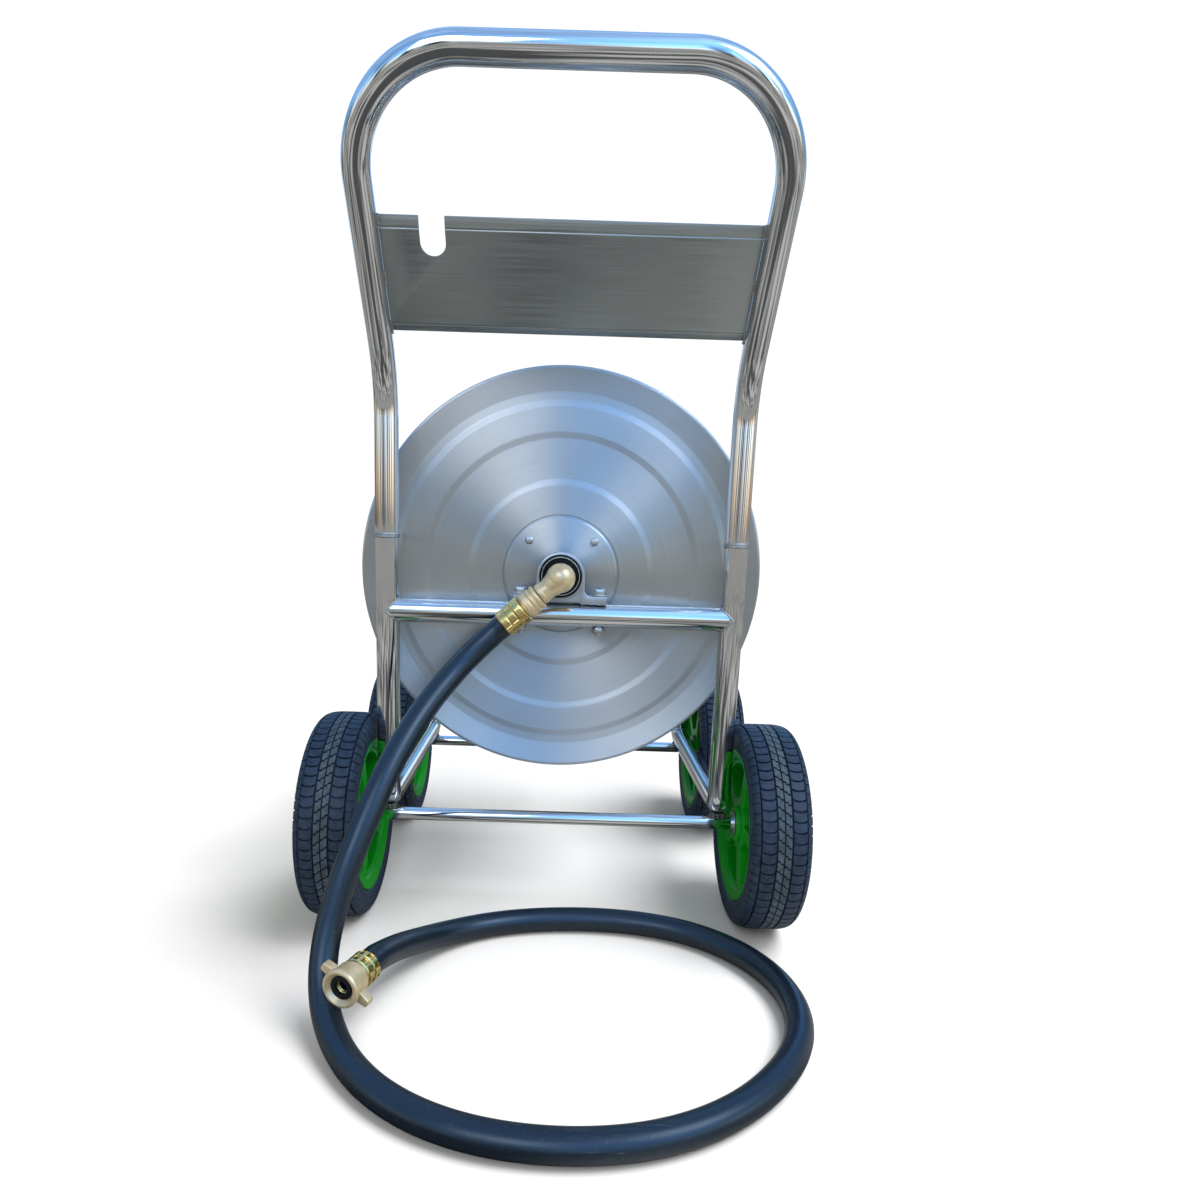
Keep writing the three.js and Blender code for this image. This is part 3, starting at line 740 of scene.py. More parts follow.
def frame_tubes():
    """Handle, uprights, rails, cross tubes and axles, with their welds."""
    top_y = NEAR_Y - LEAN_LENGTH * math.sin(LEAN)
    top_z = BEND_Z + LEAN_LENGTH * math.cos(LEAN)
    foot = JOINT_Z + 2 * MM
    left = [(-FRAME_HALF, NEAR_Y, foot), (-FRAME_HALF, NEAR_Y, BEND_Z),
            (-FRAME_HALF, top_y, top_z)]
    right = [(FRAME_HALF, y, z) for _, y, z in left][::-1]
    path = rounded_path(left + right, (BEND_R, CORNER_R, CORNER_R, BEND_R))
    handle = sweep("fine_handle_tube", path, TUBE_R, 64)
    piece(handle, "frame", "polished_steel", POLISHED_TUBE, "handle_tube")

    for side, sign in SIDES:
        x = sign * FRAME_HALF
        bead = turned(f"fine_{side}_weld_ring", [(12, -3.2), (14.1, -3.2), (14.75, -2), (14.6, 0),
            (14.75, 2), (14.1, 3.2), (12, 3.2)], 0.0008, 96, at(x, NEAR_Y, JOINT_Z), hollow=True,
            shape=lambda r, h, a: r * (1 + 0.008 * math.sin(31 * a) + 0.006 * math.sin(17 * a)))
        piece(bead, "frame", "weld_steel", WELD, f"{side}_weld_ring")
        near_corner = Vector((x, NEAR_Y, RAIL_Z))
        far_corner = Vector((x, FAR_Y, RAIL_Z))
        up, back = Vector((0, 0, 1)), Vector((0, 1, 0))
        joint = Vector((x, NEAR_Y, JOINT_Z - 2 * MM))
        top = Vector((x, FAR_Y, FAR_TOP_Z))
        for name, path in (
            (f"near_{side}_upright", [joint, *half_bend(near_corner, up, back)]),
            (f"far_{side}_upright", [top, *half_bend(far_corner, up, -back)]),
            (f"{side}_base_rail", [*half_bend(near_corner, back, up)[::-1],
                                   *half_bend(far_corner, -back, up)]),
        ):
            tube = sweep(f"fine_{name}", path, TUBE_R, 64)
            piece(tube, "frame", "polished_steel", POLISHED_TUBE, name)
        cap = turned(f"fine_far_{side}_cap", [(0, 0.3), (14.5, 0.3), (14.5, 4), (11, 7), (0, 7.5)],
            0.0012, 64, at(x, FAR_Y, FAR_TOP_Z))
        piece(cap, "frame", "black_rubber", BLACK, f"far_{side}_cap")
        for end, y in ENDS:
            inward = 1 if end == "near" else -1
            tip = half_bend(Vector((x, y, RAIL_Z)), Vector((0, 0, 1)), Vector((0, inward, 0)))[-1]
            seam = [Vector((x + px, tip.y + inward * py * math.sqrt(0.5),
                            tip.z + py * math.sqrt(0.5)))
                    for px, py in circle(TUBE_R - 0.45 * MM, 96)]
            weld_bead(f"{end}_{side}_mitre_weld", seam, 0.8 * MM)
            # Weld rings on top of the axle under the rail corner, in the dark weld material whose
            # colour is painted shade of the gap there.
            for level, reach in ((0.4 * MM, 9 * MM), (3.2 * MM, 8 * MM)):
                tack = [Vector((x + reach * math.cos(a), y + 3.6 * MM * math.sin(a),
                                WHEEL_R + AXLE_R + level))
                        for a in (2 * math.pi * k / 40 for k in range(40))]
                name = f"{end}_{side}_axle_weld_{round(level / MM)}"
                weld_bead(name, tack, 2.3 * MM, material=GAP_SHADE_WELD)

    for end, y in ENDS:
        reach = FRAME_HALF - 5 * MM
        tube = revolve(f"fine_{end}_cross_tube", [(0, -reach), (TUBE_R, -reach),
                       (TUBE_R, reach), (0, reach)], 64, at(0, y, CROSS_Z, ALONG_X))
        piece(tube, "frame", "polished_steel", POLISHED_X, f"{end}_cross_tube")
        for side, sign in SIDES:
            seam = saddle_path(Vector((sign * FRAME_HALF, y, CROSS_Z)), sign, TUBE_R)
            weld_bead(f"{end}_{side}_cross_weld", seam, 1.2 * MM)
        reach = extent(f"{end}_axle").x / 2
        axle = revolve(f"fine_{end}_axle", eased([(0, -reach), (AXLE_R, -reach),
                       (AXLE_R, reach), (0, reach)], 0.001), 48, at(0, y, WHEEL_R, ALONG_X))
        piece(axle, "frame", "polished_steel", POLISHED_X, f"{end}_axle")


# ---------------------------------------------------------------- tool plate
def tool_plate():
    """A sheet with two folded lips, and a slot for a nozzle's neck."""
    width = extent("tool_plate").x
    section = mm([(3.2, 54), (0.5, 61.8), (1.0, 62.9), (0, 64.2), (0, 159.3), (1.0, 160.6),
                  (0.5, 161.7), (3.2, 171.5)])
    outer = eased(section, 0.0015, steps=3)
    inner = [point + Vector((1.5 * MM, 0)) for point in outer]
    loop = outer + inner[::-1]
    lean = Matrix.Translation((0, NEAR_Y, BEND_Z)) @ Matrix.Rotation(LEAN, 4, "X")
    count = len(loop)
    verts = [(-width / 2, p.x, p.y) for p in loop] + [(width / 2, p.x, p.y) for p in loop]
    faces = [[i, (i + 1) % count, count + (i + 1) % count, count + i] for i in range(count)]
    faces += [list(range(count)), list(range(count, 2 * count))[::-1]]
    sheet = mesh_object("fine_tool_plate", verts, faces)
    slot_x, slot_r, slot_low, slot_high = -0.140, 0.013, 0.134, 0.190
    outline = [(slot_x - slot_r, slot_high), (slot_x - slot_r, slot_low + slot_r)]
    outline += [(slot_x - slot_r * math.cos(a), slot_low + slot_r - slot_r * math.sin(a))
                for a in (math.pi * k / 24 for k in range(1, 24))]
    outline += [(slot_x + slot_r, slot_low + slot_r), (slot_x + slot_r, slot_high)]
    punch = plate("slot_punch", outline, 0.04, Matrix.Translation((0, 0.02, 0)) @ ALONG_MINUS_Y)
    sheet = bevelled(without(sheet, punch), 0.00035, 2, 50)
    sheet.matrix_world = lean
    piece(sheet, "frame", "brushed_steel", SHEET_X, "tool_plate")
    for side, sign in SIDES:
        for height in (0.0585, 0.112, 0.166):
            x = sign * (width / 2 - 0.2 * MM)
            path = [lean @ Vector((x, 0.0008, height + MM * k)) for k in range(-7, 8)]
            weld_bead(f"{side}_plate_weld_{round(height / MM)}", path, 1.5 * MM, False)


# ---------------------------------------------------------------- bearings
def hex_head(name, across, low, high, matrix):
    """A hexagon with its corners turned off, as a bolt head or nut has."""
    corner = across / math.sqrt(3)
    head = plate(name, circle(corner, 6), high - low, matrix @ Matrix.Translation((0, 0, low)))
    return bevelled(head, 0.0007, 2)


BOLT_X = 47.5 * MM


def pillow_block(end, y):
    """Housing, seal, inner ring and bolts of one bearing."""
    foot_half, foot_low, ring_r, depth = 56 * MM, -32.7 * MM, 29 * MM, 24 * MM
    foot_top = -23 * MM
    outline = [(-foot_half, foot_low), (foot_half, foot_low), (foot_half, foot_top),
               (ring_r + 4 * MM, foot_top), (ring_r, foot_top + 5 * MM)]
    outline += [(ring_r * math.cos(a), ring_r * math.sin(a))
                for a in (math.pi * k / 40 for k in range(41))]
    outline += [(-ring_r, foot_top + 5 * MM), (-ring_r - 4 * MM, foot_top),
                (-foot_half, foot_top)]
    place = at(0, y, REEL_Z, ALONG_MINUS_Y)
    housing = plate("housing", outline, depth, place @ Matrix.Translation((0, 0, -depth / 2)))
    bore = revolve("bore", [(0, -0.03), (0.0252, -0.03), (0.0252, 0.03), (0, 0.03)], 64, place)
    arch = plate("arch", [(-0.026, -0.04), (0.026, -0.04), (0.024, -0.0305), (-0.024, -0.0305)],
                 0.06, place @ Matrix.Translation((0, 0, -0.03)))
    holes = [revolve("hole", [(0, -0.045), (0.0062, -0.045), (0.0062, -0.015), (0, -0.015)],
                     24, at(sign * BOLT_X, y, REEL_Z)) for _, sign in SIDES]
    housing = bevelled(without(housing, bore, arch, *holes), 0.0011, 3, 30)
    lip = turned("lip", [(25.4, 11), (28.6, 11), (28.6, 14), (26, 14.6), (25.4, 14)], 0.0008, 96,
        place, hollow=True)
    back = turned("back", [(25.4, -14), (26, -14.6), (28.6, -14), (28.6, -11), (25.4, -11)], 0.0008,
        96, place, hollow=True)
    housing = joined(f"fine_{end}_pillow_block", [housing, lip, back])
    piece(housing, "frame", "cast_housing", CAST, f"{end}_pillow_block")

    seal = turned(f"fine_{end}_bearing_seal", [(16.4, -9), (24.8, -9), (24.8, 9), (21.5, 9.6),
        (19, 8.2), (16.4, 8.2)], 0.0006, 96, place, hollow=True)
    piece(seal, "frame", "black_rubber", BLACK, f"{end}_bearing_seal")
    snap = turned(f"{end}_seal_ring", [(21.9, 8.6), (23.2, 8.6), (23.2, 10), (21.9, 10)], 0.0004,
        96, place, hollow=True)
    piece(snap, "frame", "zinc_steel", ZINC)
    collar = turned(f"fine_{end}_inner_ring", [(10.3, -13), (15.4, -13), (16, -12), (16, 12),
        (15.4, 13), (10.3, 13)], 0.0005, 64, place, hollow=True)
    piece(collar, "reel", "zinc_steel", ZINC, f"{end}_inner_ring")

    for side, sign in SIDES:
        spot = at(sign * BOLT_X, y, REEL_Z)
        washer = turned("washer", [(5.2, -22.7), (10, -22.7), (10, -21), (5.2, -21)], 0.0004, 48,
            spot, hollow=True)
        head = hex_head("head", 15 * MM, -21 * MM, -15 * MM, spot)
        dome = revolve("dome", mm([(0, -15.1), (6.6, -15.1), (6.2, -14.6), (0, -14.4)]), 48, spot)
        under = CROSS_Z - TUBE_R - REEL_Z
        nut = hex_head("nut", 14 * MM, under - 7 * MM, under - 0.3 * MM, spot)
        stud = revolve("stud", [(0, under - 9.6 * MM), (4.2 * MM, under - 9.6 * MM),
                                (5 * MM, under - 8.8 * MM), (5 * MM, -18 * MM),
                                (0, -18 * MM)], 32, spot)
        bolt = joined(f"fine_{end}_{side}_block_bolt", [head, washer, dome, nut, stud])
        piece(bolt, "frame", "zinc_steel", ZINC, f"{end}_{side}_block_bolt")


# ---------------------------------------------------------------- reel
def pressed_disc(name):
    """Spun side disc: rings pressed back and forward, a flared rim and a rolled edge."""
    face = mm([(18, 0), (69.6, 0), (70.2, 1.6), (71.5, 1.6), (72.4, 0), (107.5, 0), (115, 1.8),
               (163, 1.8), (170.5, 0), (200, 0), (207.5, 1.8), (217, 1.8), (242.5, -3.4)])
    line = eased(face, 0.010, steps=6)
    back = [Vector((p.x, p.y + 1.5 * MM)) for p in line][::-1]
    edge = [Vector((DISC_R - 3.4 * MM + 3.2 * MM * math.cos(a), 1.0 * MM + 3.0 * MM * math.sin(a)))
            for a in (math.radians(d) for d in range(-130, 150, 20))]
    return revolve(name, line + edge + back, 192, closed=True, sharp=50)


def hub_plate(name):
    """A shallow dished plate over the disc's middle, with a sleeve along the shaft."""
    profile = eased(mm([(10.3, -3.3), (36, -3.3), (67.6, -2.4), (69, -1.4), (69, -0.1),
                        (16, -0.1), (16, 26), (10.3, 26)]), 0.0008, True)
    return revolve(name, profile, 144, closed=True)


def hub_screw(name, matrix):
    """A pan head with a cross recess."""
    dome = turned(name, [(0, -3.1), (3.2, -2.7), (4.9, -1.2), (5, 0), (2.5, 0), (2.5, 6), (0, 6)],
        0.0006, 40, matrix)
    cutters = []
    for turn in (0, math.pi / 2):
        cutters.append(block("cross", (-2.6 * MM, -0.45 * MM, -4 * MM),
                             (2.6 * MM, 0.45 * MM, -1.7 * MM),
                             matrix @ Matrix.Rotation(turn, 4, "Z")))
    return without(dome, *cutters)


def reel():
    """Discs, hub plates, screws, the drum between them, and the drum's hose outlet."""
    low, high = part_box("drum")
    near_face = low.y - 1.8 * MM
    far_face = high.y + 1.8 * MM
    for end, y, turn in (("near", near_face, ALONG_Y), ("far", far_face, ALONG_MINUS_Y)):
        place = at(0, y, REEL_Z, turn)
        disc = pressed_disc(f"fine_{end}_disc")
        disc.matrix_world = place
        piece(disc, "reel", "brushed_steel", SPUN, f"{end}_disc")
        hub = hub_plate(f"fine_{end}_hub_plate")
        hub.matrix_world = place
        piece(hub, "reel", "brushed_steel", SPUN, f"{end}_hub_plate")
    for i in range(4):
        node = f"near_hub_screw_{i + 1}"
        spot = middle(node)
        turn = Matrix.Rotation(0.5 + i, 4, "Z")     # each screw stops at its own angle
        seat = at(spot.x, near_face - 2.7 * MM, spot.z, ALONG_Y)
        screw = hub_screw(f"fine_{node}", seat @ turn)
        piece(screw, "reel", "zinc_steel", ZINC, node)
        spot_far = at(spot.x, far_face + 2.7 * MM, spot.z, ALONG_MINUS_Y)
        far = hub_screw(f"far_hub_screw_{i + 1}", spot_far @ turn)
        piece(far, "reel", "zinc_steel", ZINC)

    length = high.y - low.y
    radius = (high.x - low.x) / 2
    bead = 1.6 * MM
    line = [(radius, 0), (radius, 0.02), (radius + bead, 0.024), (radius, 0.028),
            (radius, length - 0.028), (radius + bead, length - 0.024), (radius, length - 0.02),
            (radius, length)]
    inner = [(r - 1.5 * MM, h) for r, h in line][::-1]
    drum = revolve("fine_drum", eased(line + inner, 0.003, True), 128,
                   at(0, low.y, REEL_Z, ALONG_Y), closed=True)
    piece(drum, "reel", "brushed_steel", SPUN, "drum")

    outlet_y = NEAR_Y + 0.096
    base = REEL_Z - 10.3 * MM
    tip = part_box("drum_outlet")[0].z + 13 * MM
    riser = revolve("riser", eased([(0, 0), (7.5 * MM, 0), (7.5 * MM, base - tip), (0, base - tip)],
                                   0.0008), 40, at(0, outlet_y, tip))
    nipple = turned("nipple", [(0, -14), (13, -14), (13, -5), (11.4, -4), (11, -3), (10.2, -2),
        (11, -1), (10.2, 1), (11, 3), (10.2, 5), (11, 7), (10.2, 9), (11, 11), (10.2, 13), (11, 15),
        (10.2, 17), (10.6, 19), (9.6, 22), (0, 22)], 0.0005, 48, at(0, outlet_y, tip, ALONG_Y))
    outlet = joined("fine_drum_outlet", [riser, nipple])
    piece(outlet, "reel", "brass", BRASS, "drum_outlet")


def shaft_and_crank():
    """The shaft, and the crank on its far end with a fluted grip on a pin."""
    low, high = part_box("reel_shaft")
    radius = (high.x - low.x) / 2
    length = high.y - low.y
    shaft = revolve("fine_reel_shaft", eased([
        (0, 0.11), (6.5 * MM, 0.11), (6.5 * MM, 0), (radius, 0), (radius, length),
        (0, length)], 0.0008), 64, at(0, low.y, REEL_Z, ALONG_Y))
    piece(shaft, "reel", "zinc_steel", ZINC, "reel_shaft")

    arm_low, arm_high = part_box("crank_arm")
    thick = arm_high.y - arm_low.y
    reach = REEL_Z - joint_at("grip_spin").z
    outline = [(16 * MM * math.cos(a), 16 * MM * math.sin(a))
               for a in (math.pi * k / 24 for k in range(25))]
    outline += [(-13 * MM * math.cos(a), -reach - 13 * MM * math.sin(a))
                for a in (math.pi * k / 24 for k in range(25))]
    arm = plate("fine_crank_arm", outline, thick, at(0, arm_high.y, REEL_Z, ALONG_MINUS_Y))
    arm = bevelled(arm, 0.0012, 3)
    piece(arm, "reel", "polished_steel", POLISHED_Z, "crank_arm")
    nut_low, nut_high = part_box("crank_nut")
    nut = hex_head("nut", 30 * MM, 0, nut_high.y - nut_low.y, at(0, nut_low.y, REEL_Z, ALONG_Y))
    washer = turned("washer", [(10.5, -0.2), (20, -0.2), (20, 1.8), (10.5, 1.8)], 0.0005, 64, at(0,
        nut_low.y, REEL_Z, ALONG_Y), hollow=True)
    piece(joined("fine_crank_nut", [nut, washer]), "reel", "zinc_steel", ZINC, "crank_nut")

    grip_low, grip_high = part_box("crank_grip")
    pin_low, pin_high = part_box("crank_pin")
    pin_z = joint_at("grip_spin").z
    base = arm_high.y - pin_low.y
    shoulder = grip_low.y - GAP - pin_low.y
    end = pin_high.y - pin_low.y
    pin = revolve("fine_crank_pin", eased([
        (0, 0), (6 * MM, 0), (6 * MM, base + GAP), (11 * MM, base + GAP), (11 * MM, shoulder),
        (6 * MM, shoulder), (6 * MM, end - 5 * MM), (9 * MM, end - 5 * MM),
        (9 * MM, end - 2 * MM), (6 * MM, end), (0, end)], 0.0006), 48,
        at(0, pin_low.y, pin_z, ALONG_Y))
    piece(pin, "reel", "zinc_steel", ZINC, "crank_pin")
    length = grip_high.y - grip_low.y

    def fluted(r, h, a):
        if r < 0.0125 or not 0.012 < h < length - 0.014:
            return r
        return r * (1 - 0.03 * (0.5 + 0.5 * math.cos(10 * a)) ** 3)

    grip_line = [(6.3, 0), (12, 0), (15, 3), (14.6, 8), (13.8, 14), (14, 22), (15, 34), (16.3, 48),
                 (16.5, 56), (16, 70), (15, 82), (12.6, 90), (10, length / MM),
                 (6.3, length / MM)]
    grip = revolve("fine_crank_grip", eased(mm(grip_line), 0.002, True, 5), 120,
                   at(0, grip_low.y, pin_z, ALONG_Y), closed=True, shape=fluted)
    piece(grip, "crank_grip", "black_rubber", BLACK, "crank_grip")


# ---------------------------------------------------------------- wheels
TREAD_DEPTH = 2.9 * MM
PITCHES = 66


class Crown:
    """The tyre's outer line as (radius, height), by distance along it from the crown."""

    def __init__(self):
        wall_r, power = 0.104, 4.2
        half = WHEEL_W / 2
        steps = 240
        points = []
        for k in range(steps + 1):
            a = math.pi / 2 * k / steps
            across = half * math.sin(a) ** (2 / power)
            rise = (WHEEL_R - wall_r) * max(math.cos(a), 0) ** (2 / power)
            points.append((wall_r + rise, across))
        self.points = np.array(points)
        step = np.linalg.norm(np.diff(self.points, axis=0), axis=1)
        self.along = np.concatenate([[0], np.cumsum(step)])

    def at(self, s, lift):
        """Radius and height at s from the crown, raised by lift along the normal."""
        side = 1 if s >= 0 else -1
        near, far = max(abs(s) - 0.0006, 0), abs(s) + 0.0006
        r, u = (np.interp(abs(s), self.along, self.points[:, i]) for i in (0, 1))
        dr = np.interp(far, self.along, self.points[:, 0]) - np.interp(
            near, self.along, self.points[:, 0])
        du = np.interp(far, self.along, self.points[:, 1]) - np.interp(
            near, self.along, self.points[:, 1])
        size = math.hypot(dr, du) or 1
        r += lift * du / size
        u -= lift * dr / size
        return r, WHEEL_W / 2 + side * u


def tread_blocks():
    """One pitch of the tread as (lower edge, upper edge, worn): lists of (s, v) in mm."""
    pitch = 2 * math.pi * WHEEL_R / MM / PITCHES
    blocks = []
    cup = [(0, 0), (0.4, -2.4), (1.5, -3.8), (4.4, -4.8), (7.9, -5.1), (11.4, -4.8), (14.3, -3.8),
           (15.4, -2.4), (15.8, 0)]
    for start in (9.5, -25.3):
        lower = [(start + s, v) for s, v in cup]
        blocks.append((lower, [(s, v + pitch - 1.9) for s, v in lower], False))
    for start, shift in ((-7.9, 0), (0.4, pitch / 2)):
        zig = [(start, shift), (start + 3.2, shift - 1.2), (start + 4.2, shift - 3.4),
               (start + 7.5, shift - 4.2)]
        blocks.append((zig, [(s, v + pitch - 1.5) for s, v in zig], True))
    for start, end in ((27.0, 41.0), (-41.0, -27.0)):
        flat = [(start + (end - start) * k / 5, 0.35 * pitch) for k in range(6)]
        blocks.append((flat, [(s, v + pitch - 1.5) for s, v in flat], False))
    return blocks


def tyre_mesh(turn):
    """Carcass and tread. turn is 1 or -1, so that the tread runs the same way on both sides."""
    crown = Crown()
    half = np.arange(0, 0.0420, 0.0015)
    spans = list(-half[::-1]) + list(half[1:])
    outer = [crown.at(s, -TREAD_DEPTH if abs(s) < 0.0262 else
                      -TREAD_DEPTH * 0.45) for s in spans]
    last_r = outer[-1][0]
    wall = []
    for r, inset in ((0.1060, 0.0005), (0.1045, 0.0014), (0.1030, 0.0005), (0.0995, 0.0008),
                     (0.0965, 0.0022), (0.0952, 0.0048), (0.0880, 0.0058), (0.0862, 0.0085)):
        if r < last_r:
            wall.append((r, inset))
    low = [(r, inset) for r, inset in wall][::-1]
    high = [(r, WHEEL_W - inset) for r, inset in wall]
    profile = low + outer + high
    carcass = revolve("carcass", profile, 144, closed=True, sharp=60)

    verts, faces, slots = [], [], []
    ease = 0.4

    def loop(lower, upper, inset, lift, angle):
        left, right = lower[0][0], lower[-1][0]
        ring = []
        for edge, sign in ((lower, 1), (upper, -1)):
            points = []
            for s, v in edge:
                inner = min(max(s, left + inset), right - inset)
                r, h = crown.at(inner * MM, lift * MM)
                a = turn * ((v + sign * inset) * MM / WHEEL_R + angle)
                points.append((r * math.cos(a), r * math.sin(a), h))
            ring.append(points)
        return ring[0] + ring[1][::-1]

    for k in range(PITCHES):
        angle = 2 * math.pi * k / PITCHES
        for lower, upper, worn in tread_blocks():
            count = len(lower)
            base = len(verts)
            side = abs(lower[0][0]) > 26
            depth = -1.6 if side else -2.9
            for inset, lift in ((0, depth), (0, -ease), (ease, 0)):
                verts += loop(lower, upper, inset, lift, angle)
            ring = 2 * count
            for level in range(2):
                for i in range(ring):
                    n = (i + 1) % ring
                    faces.append([base + level * ring + i, base + level * ring + n,
                                  base + (level + 1) * ring + n, base + (level + 1) * ring + i])
                    slots.append(0)
            for level, flip in ((0, True), (2, False)):
                for i in range(count - 1):
                    a = base + level * ring
                    face = [a + i, a + i + 1, a + ring - 2 - i, a + ring - 1 - i]
                    faces.append(face[::-1] if flip else face)
                    slots.append(1 if worn and not flip else 0)
    mesh = bpy.data.meshes.new("tyre")
    mesh.from_pydata(verts, [], faces)
    mesh.polygons.foreach_set("material_index", slots)
    blocks = placed("blocks", mesh)
    tyre = joined("tyre", [carcass, blocks])
    mesh = tyre.data
    mesh.set_sharp_from_angle(angle=math.radians(40))
    bpy.data.objects.remove(tyre)
    mesh.materials.append(TYRE)
    mesh.materials.append(TREAD)
    return mesh


def pocket_outline(index):
    """The gap between two spokes, with rounded corners, in mm."""
    spokes, half_spoke, inner, outer = 5, 8.5, 33, 76.5
    middle_angle = 2 * math.pi * (index + 0.25) / spokes
    corners = []
    for radius, steps in ((outer, 9), (inner, 5)):
        limit = math.pi / spokes - math.asin(half_spoke / radius)
        span = [limit * (2 * k / (steps - 1) - 1) for k in range(steps)]
        if radius == inner:
            span = span[::-1]
        corners += [(radius * math.cos(middle_angle + a), radius * math.sin(middle_angle + a))
                    for a in span]
    return eased(mm(corners), 0.010, True, 5)


def rim_mesh():
    """Moulded rim: a barrel with lips, five thick spokes, blind pockets and a hub."""
    curve = bpy.data.curves.new("spokes", "CURVE")
    curve.dimensions = "2D"
    curve.fill_mode = "BOTH"
    face_low, face_high = 9 * MM, 54.7 * MM
    edge = 1.3 * MM
    curve.extrude = (face_high - face_low) / 2 - edge
    curve.bevel_depth = edge
    curve.bevel_resolution = 3
    curve.offset = -edge
    loops = [circle(0.0835, 96), circle(AXLE_R + 0.4 * MM, 32)]
    loops += [pocket_outline(i) for i in range(5)]
    for points in loops:
        spline = curve.splines.new("POLY")
        spline.points.add(len(points) - 1)
        for target, point in zip(spline.points, points):
            target.co = (point[0], point[1], 0, 1)
        spline.use_cyclic_u = True
    wheel = bpy.data.objects.new("spokes", curve)
    bpy.context.scene.collection.objects.link(wheel)
    wheel.matrix_world = Matrix.Translation((0, 0, (face_low + face_high) / 2))
    bpy.context.view_layer.update()
    wheel = applied(wheel)
    web = revolve("web", mm([(20, 29), (78, 29), (78, 37), (20, 37)]), 64, closed=True)
    barrel = turned("barrel", [(80, 9.5), (82.5, 6), (90.5, 2.6), (94.4, 1.8), (95, 3.4), (94, 5),
        (87, 5.2), (85.6, 8), (85.6, 61), (87, 63.8), (94, 64), (95, 65.6), (94.4, 67.2),
        (90.5, 66.4), (82.5, 63), (80, 59.5)], 0.0015, 144, hollow=True)
    boss = turned("boss", [(8.4, 4), (21, 4), (22.5, 6), (24.5, 30), (24.5, 36), (22.5, 53),
        (21, 55), (8.4, 55)], 0.0015, 96, hollow=True)
    rim = joined("rim", [web, wheel, barrel, boss])
    mesh = rim.data
    bpy.data.objects.remove(rim)
    mesh.materials.append(GREEN)
    return mesh


def wheels():
    """Tyre, rim, axle cap and washer of each wheel."""
    tyres = {side: tyre_mesh(-sign) for side, sign in SIDES}
    rim = rim_mesh()
    for end, y in ENDS:
        for side, sign in SIDES:
            name = f"{end}_{side}"
            body = f"{name}_wheel"
            place = at(sign * WHEEL_FACE, y, WHEEL_R, ALONG_X if sign > 0 else ALONG_MINUS_X)
            piece(placed(f"fine_{name}_tyre", tyres[side], place), body, "tyre", None, f"{name}_tyre")
            piece(placed(f"fine_{name}_rim", rim, place), body, "rim_green", None, f"{name}_rim")
            cap = turned(f"fine_{name}_axle_cap", [(8.3, 55.3), (14, 55.3), (14, 56.6),
                (12.5, 57.4), (12.3, 61), (8, 64.6), (0, 65.7), (0, 62), (8.3, 62)], 0.001, 48,
                place)
            piece(cap, "frame", "zinc_steel", ZINC, f"{name}_axle_cap")
            washer = turned(f"{name}_hub_washer", [(8.1, 1.6), (15, 1.6), (15, 3.6), (8.1, 3.6)],
                0.0005, 48, place, hollow=True)
            piece(washer, "frame", "zinc_steel", ZINC)


# ---------------------------------------------------------------- brass fittings
def lugs(count, rows, height, top):
    """Rows of raised rectangles: rows are (low, high) heights, top the radius that they reach."""
    def shape(r, h, a):
        if r < top - 2.5 * MM:
            return r
        for low, high in rows:
            if low <= h <= high:
                wave = math.cos(count * a)
                return r + height * max(-1, min(1, wave * 4)) / 2 - height / 2
        return r
    return shape


def fine_rows(profile, step):
    """The profile with its long sides split, so that a shape along it can show."""
    result = [profile[0]]
    for a, b in zip(profile, profile[1:]):
        count = max(1, math.ceil((Vector(b) - Vector(a)).length / step))
        for k in range(1, count + 1):
            result.append(tuple(Vector(a).lerp(Vector(b), k / count)))
    return result


def knurl(count, depth, low, high):
    def shape(r, h, a):
        return r + depth * math.cos(count * a) if low <= h <= high else r
    return shape


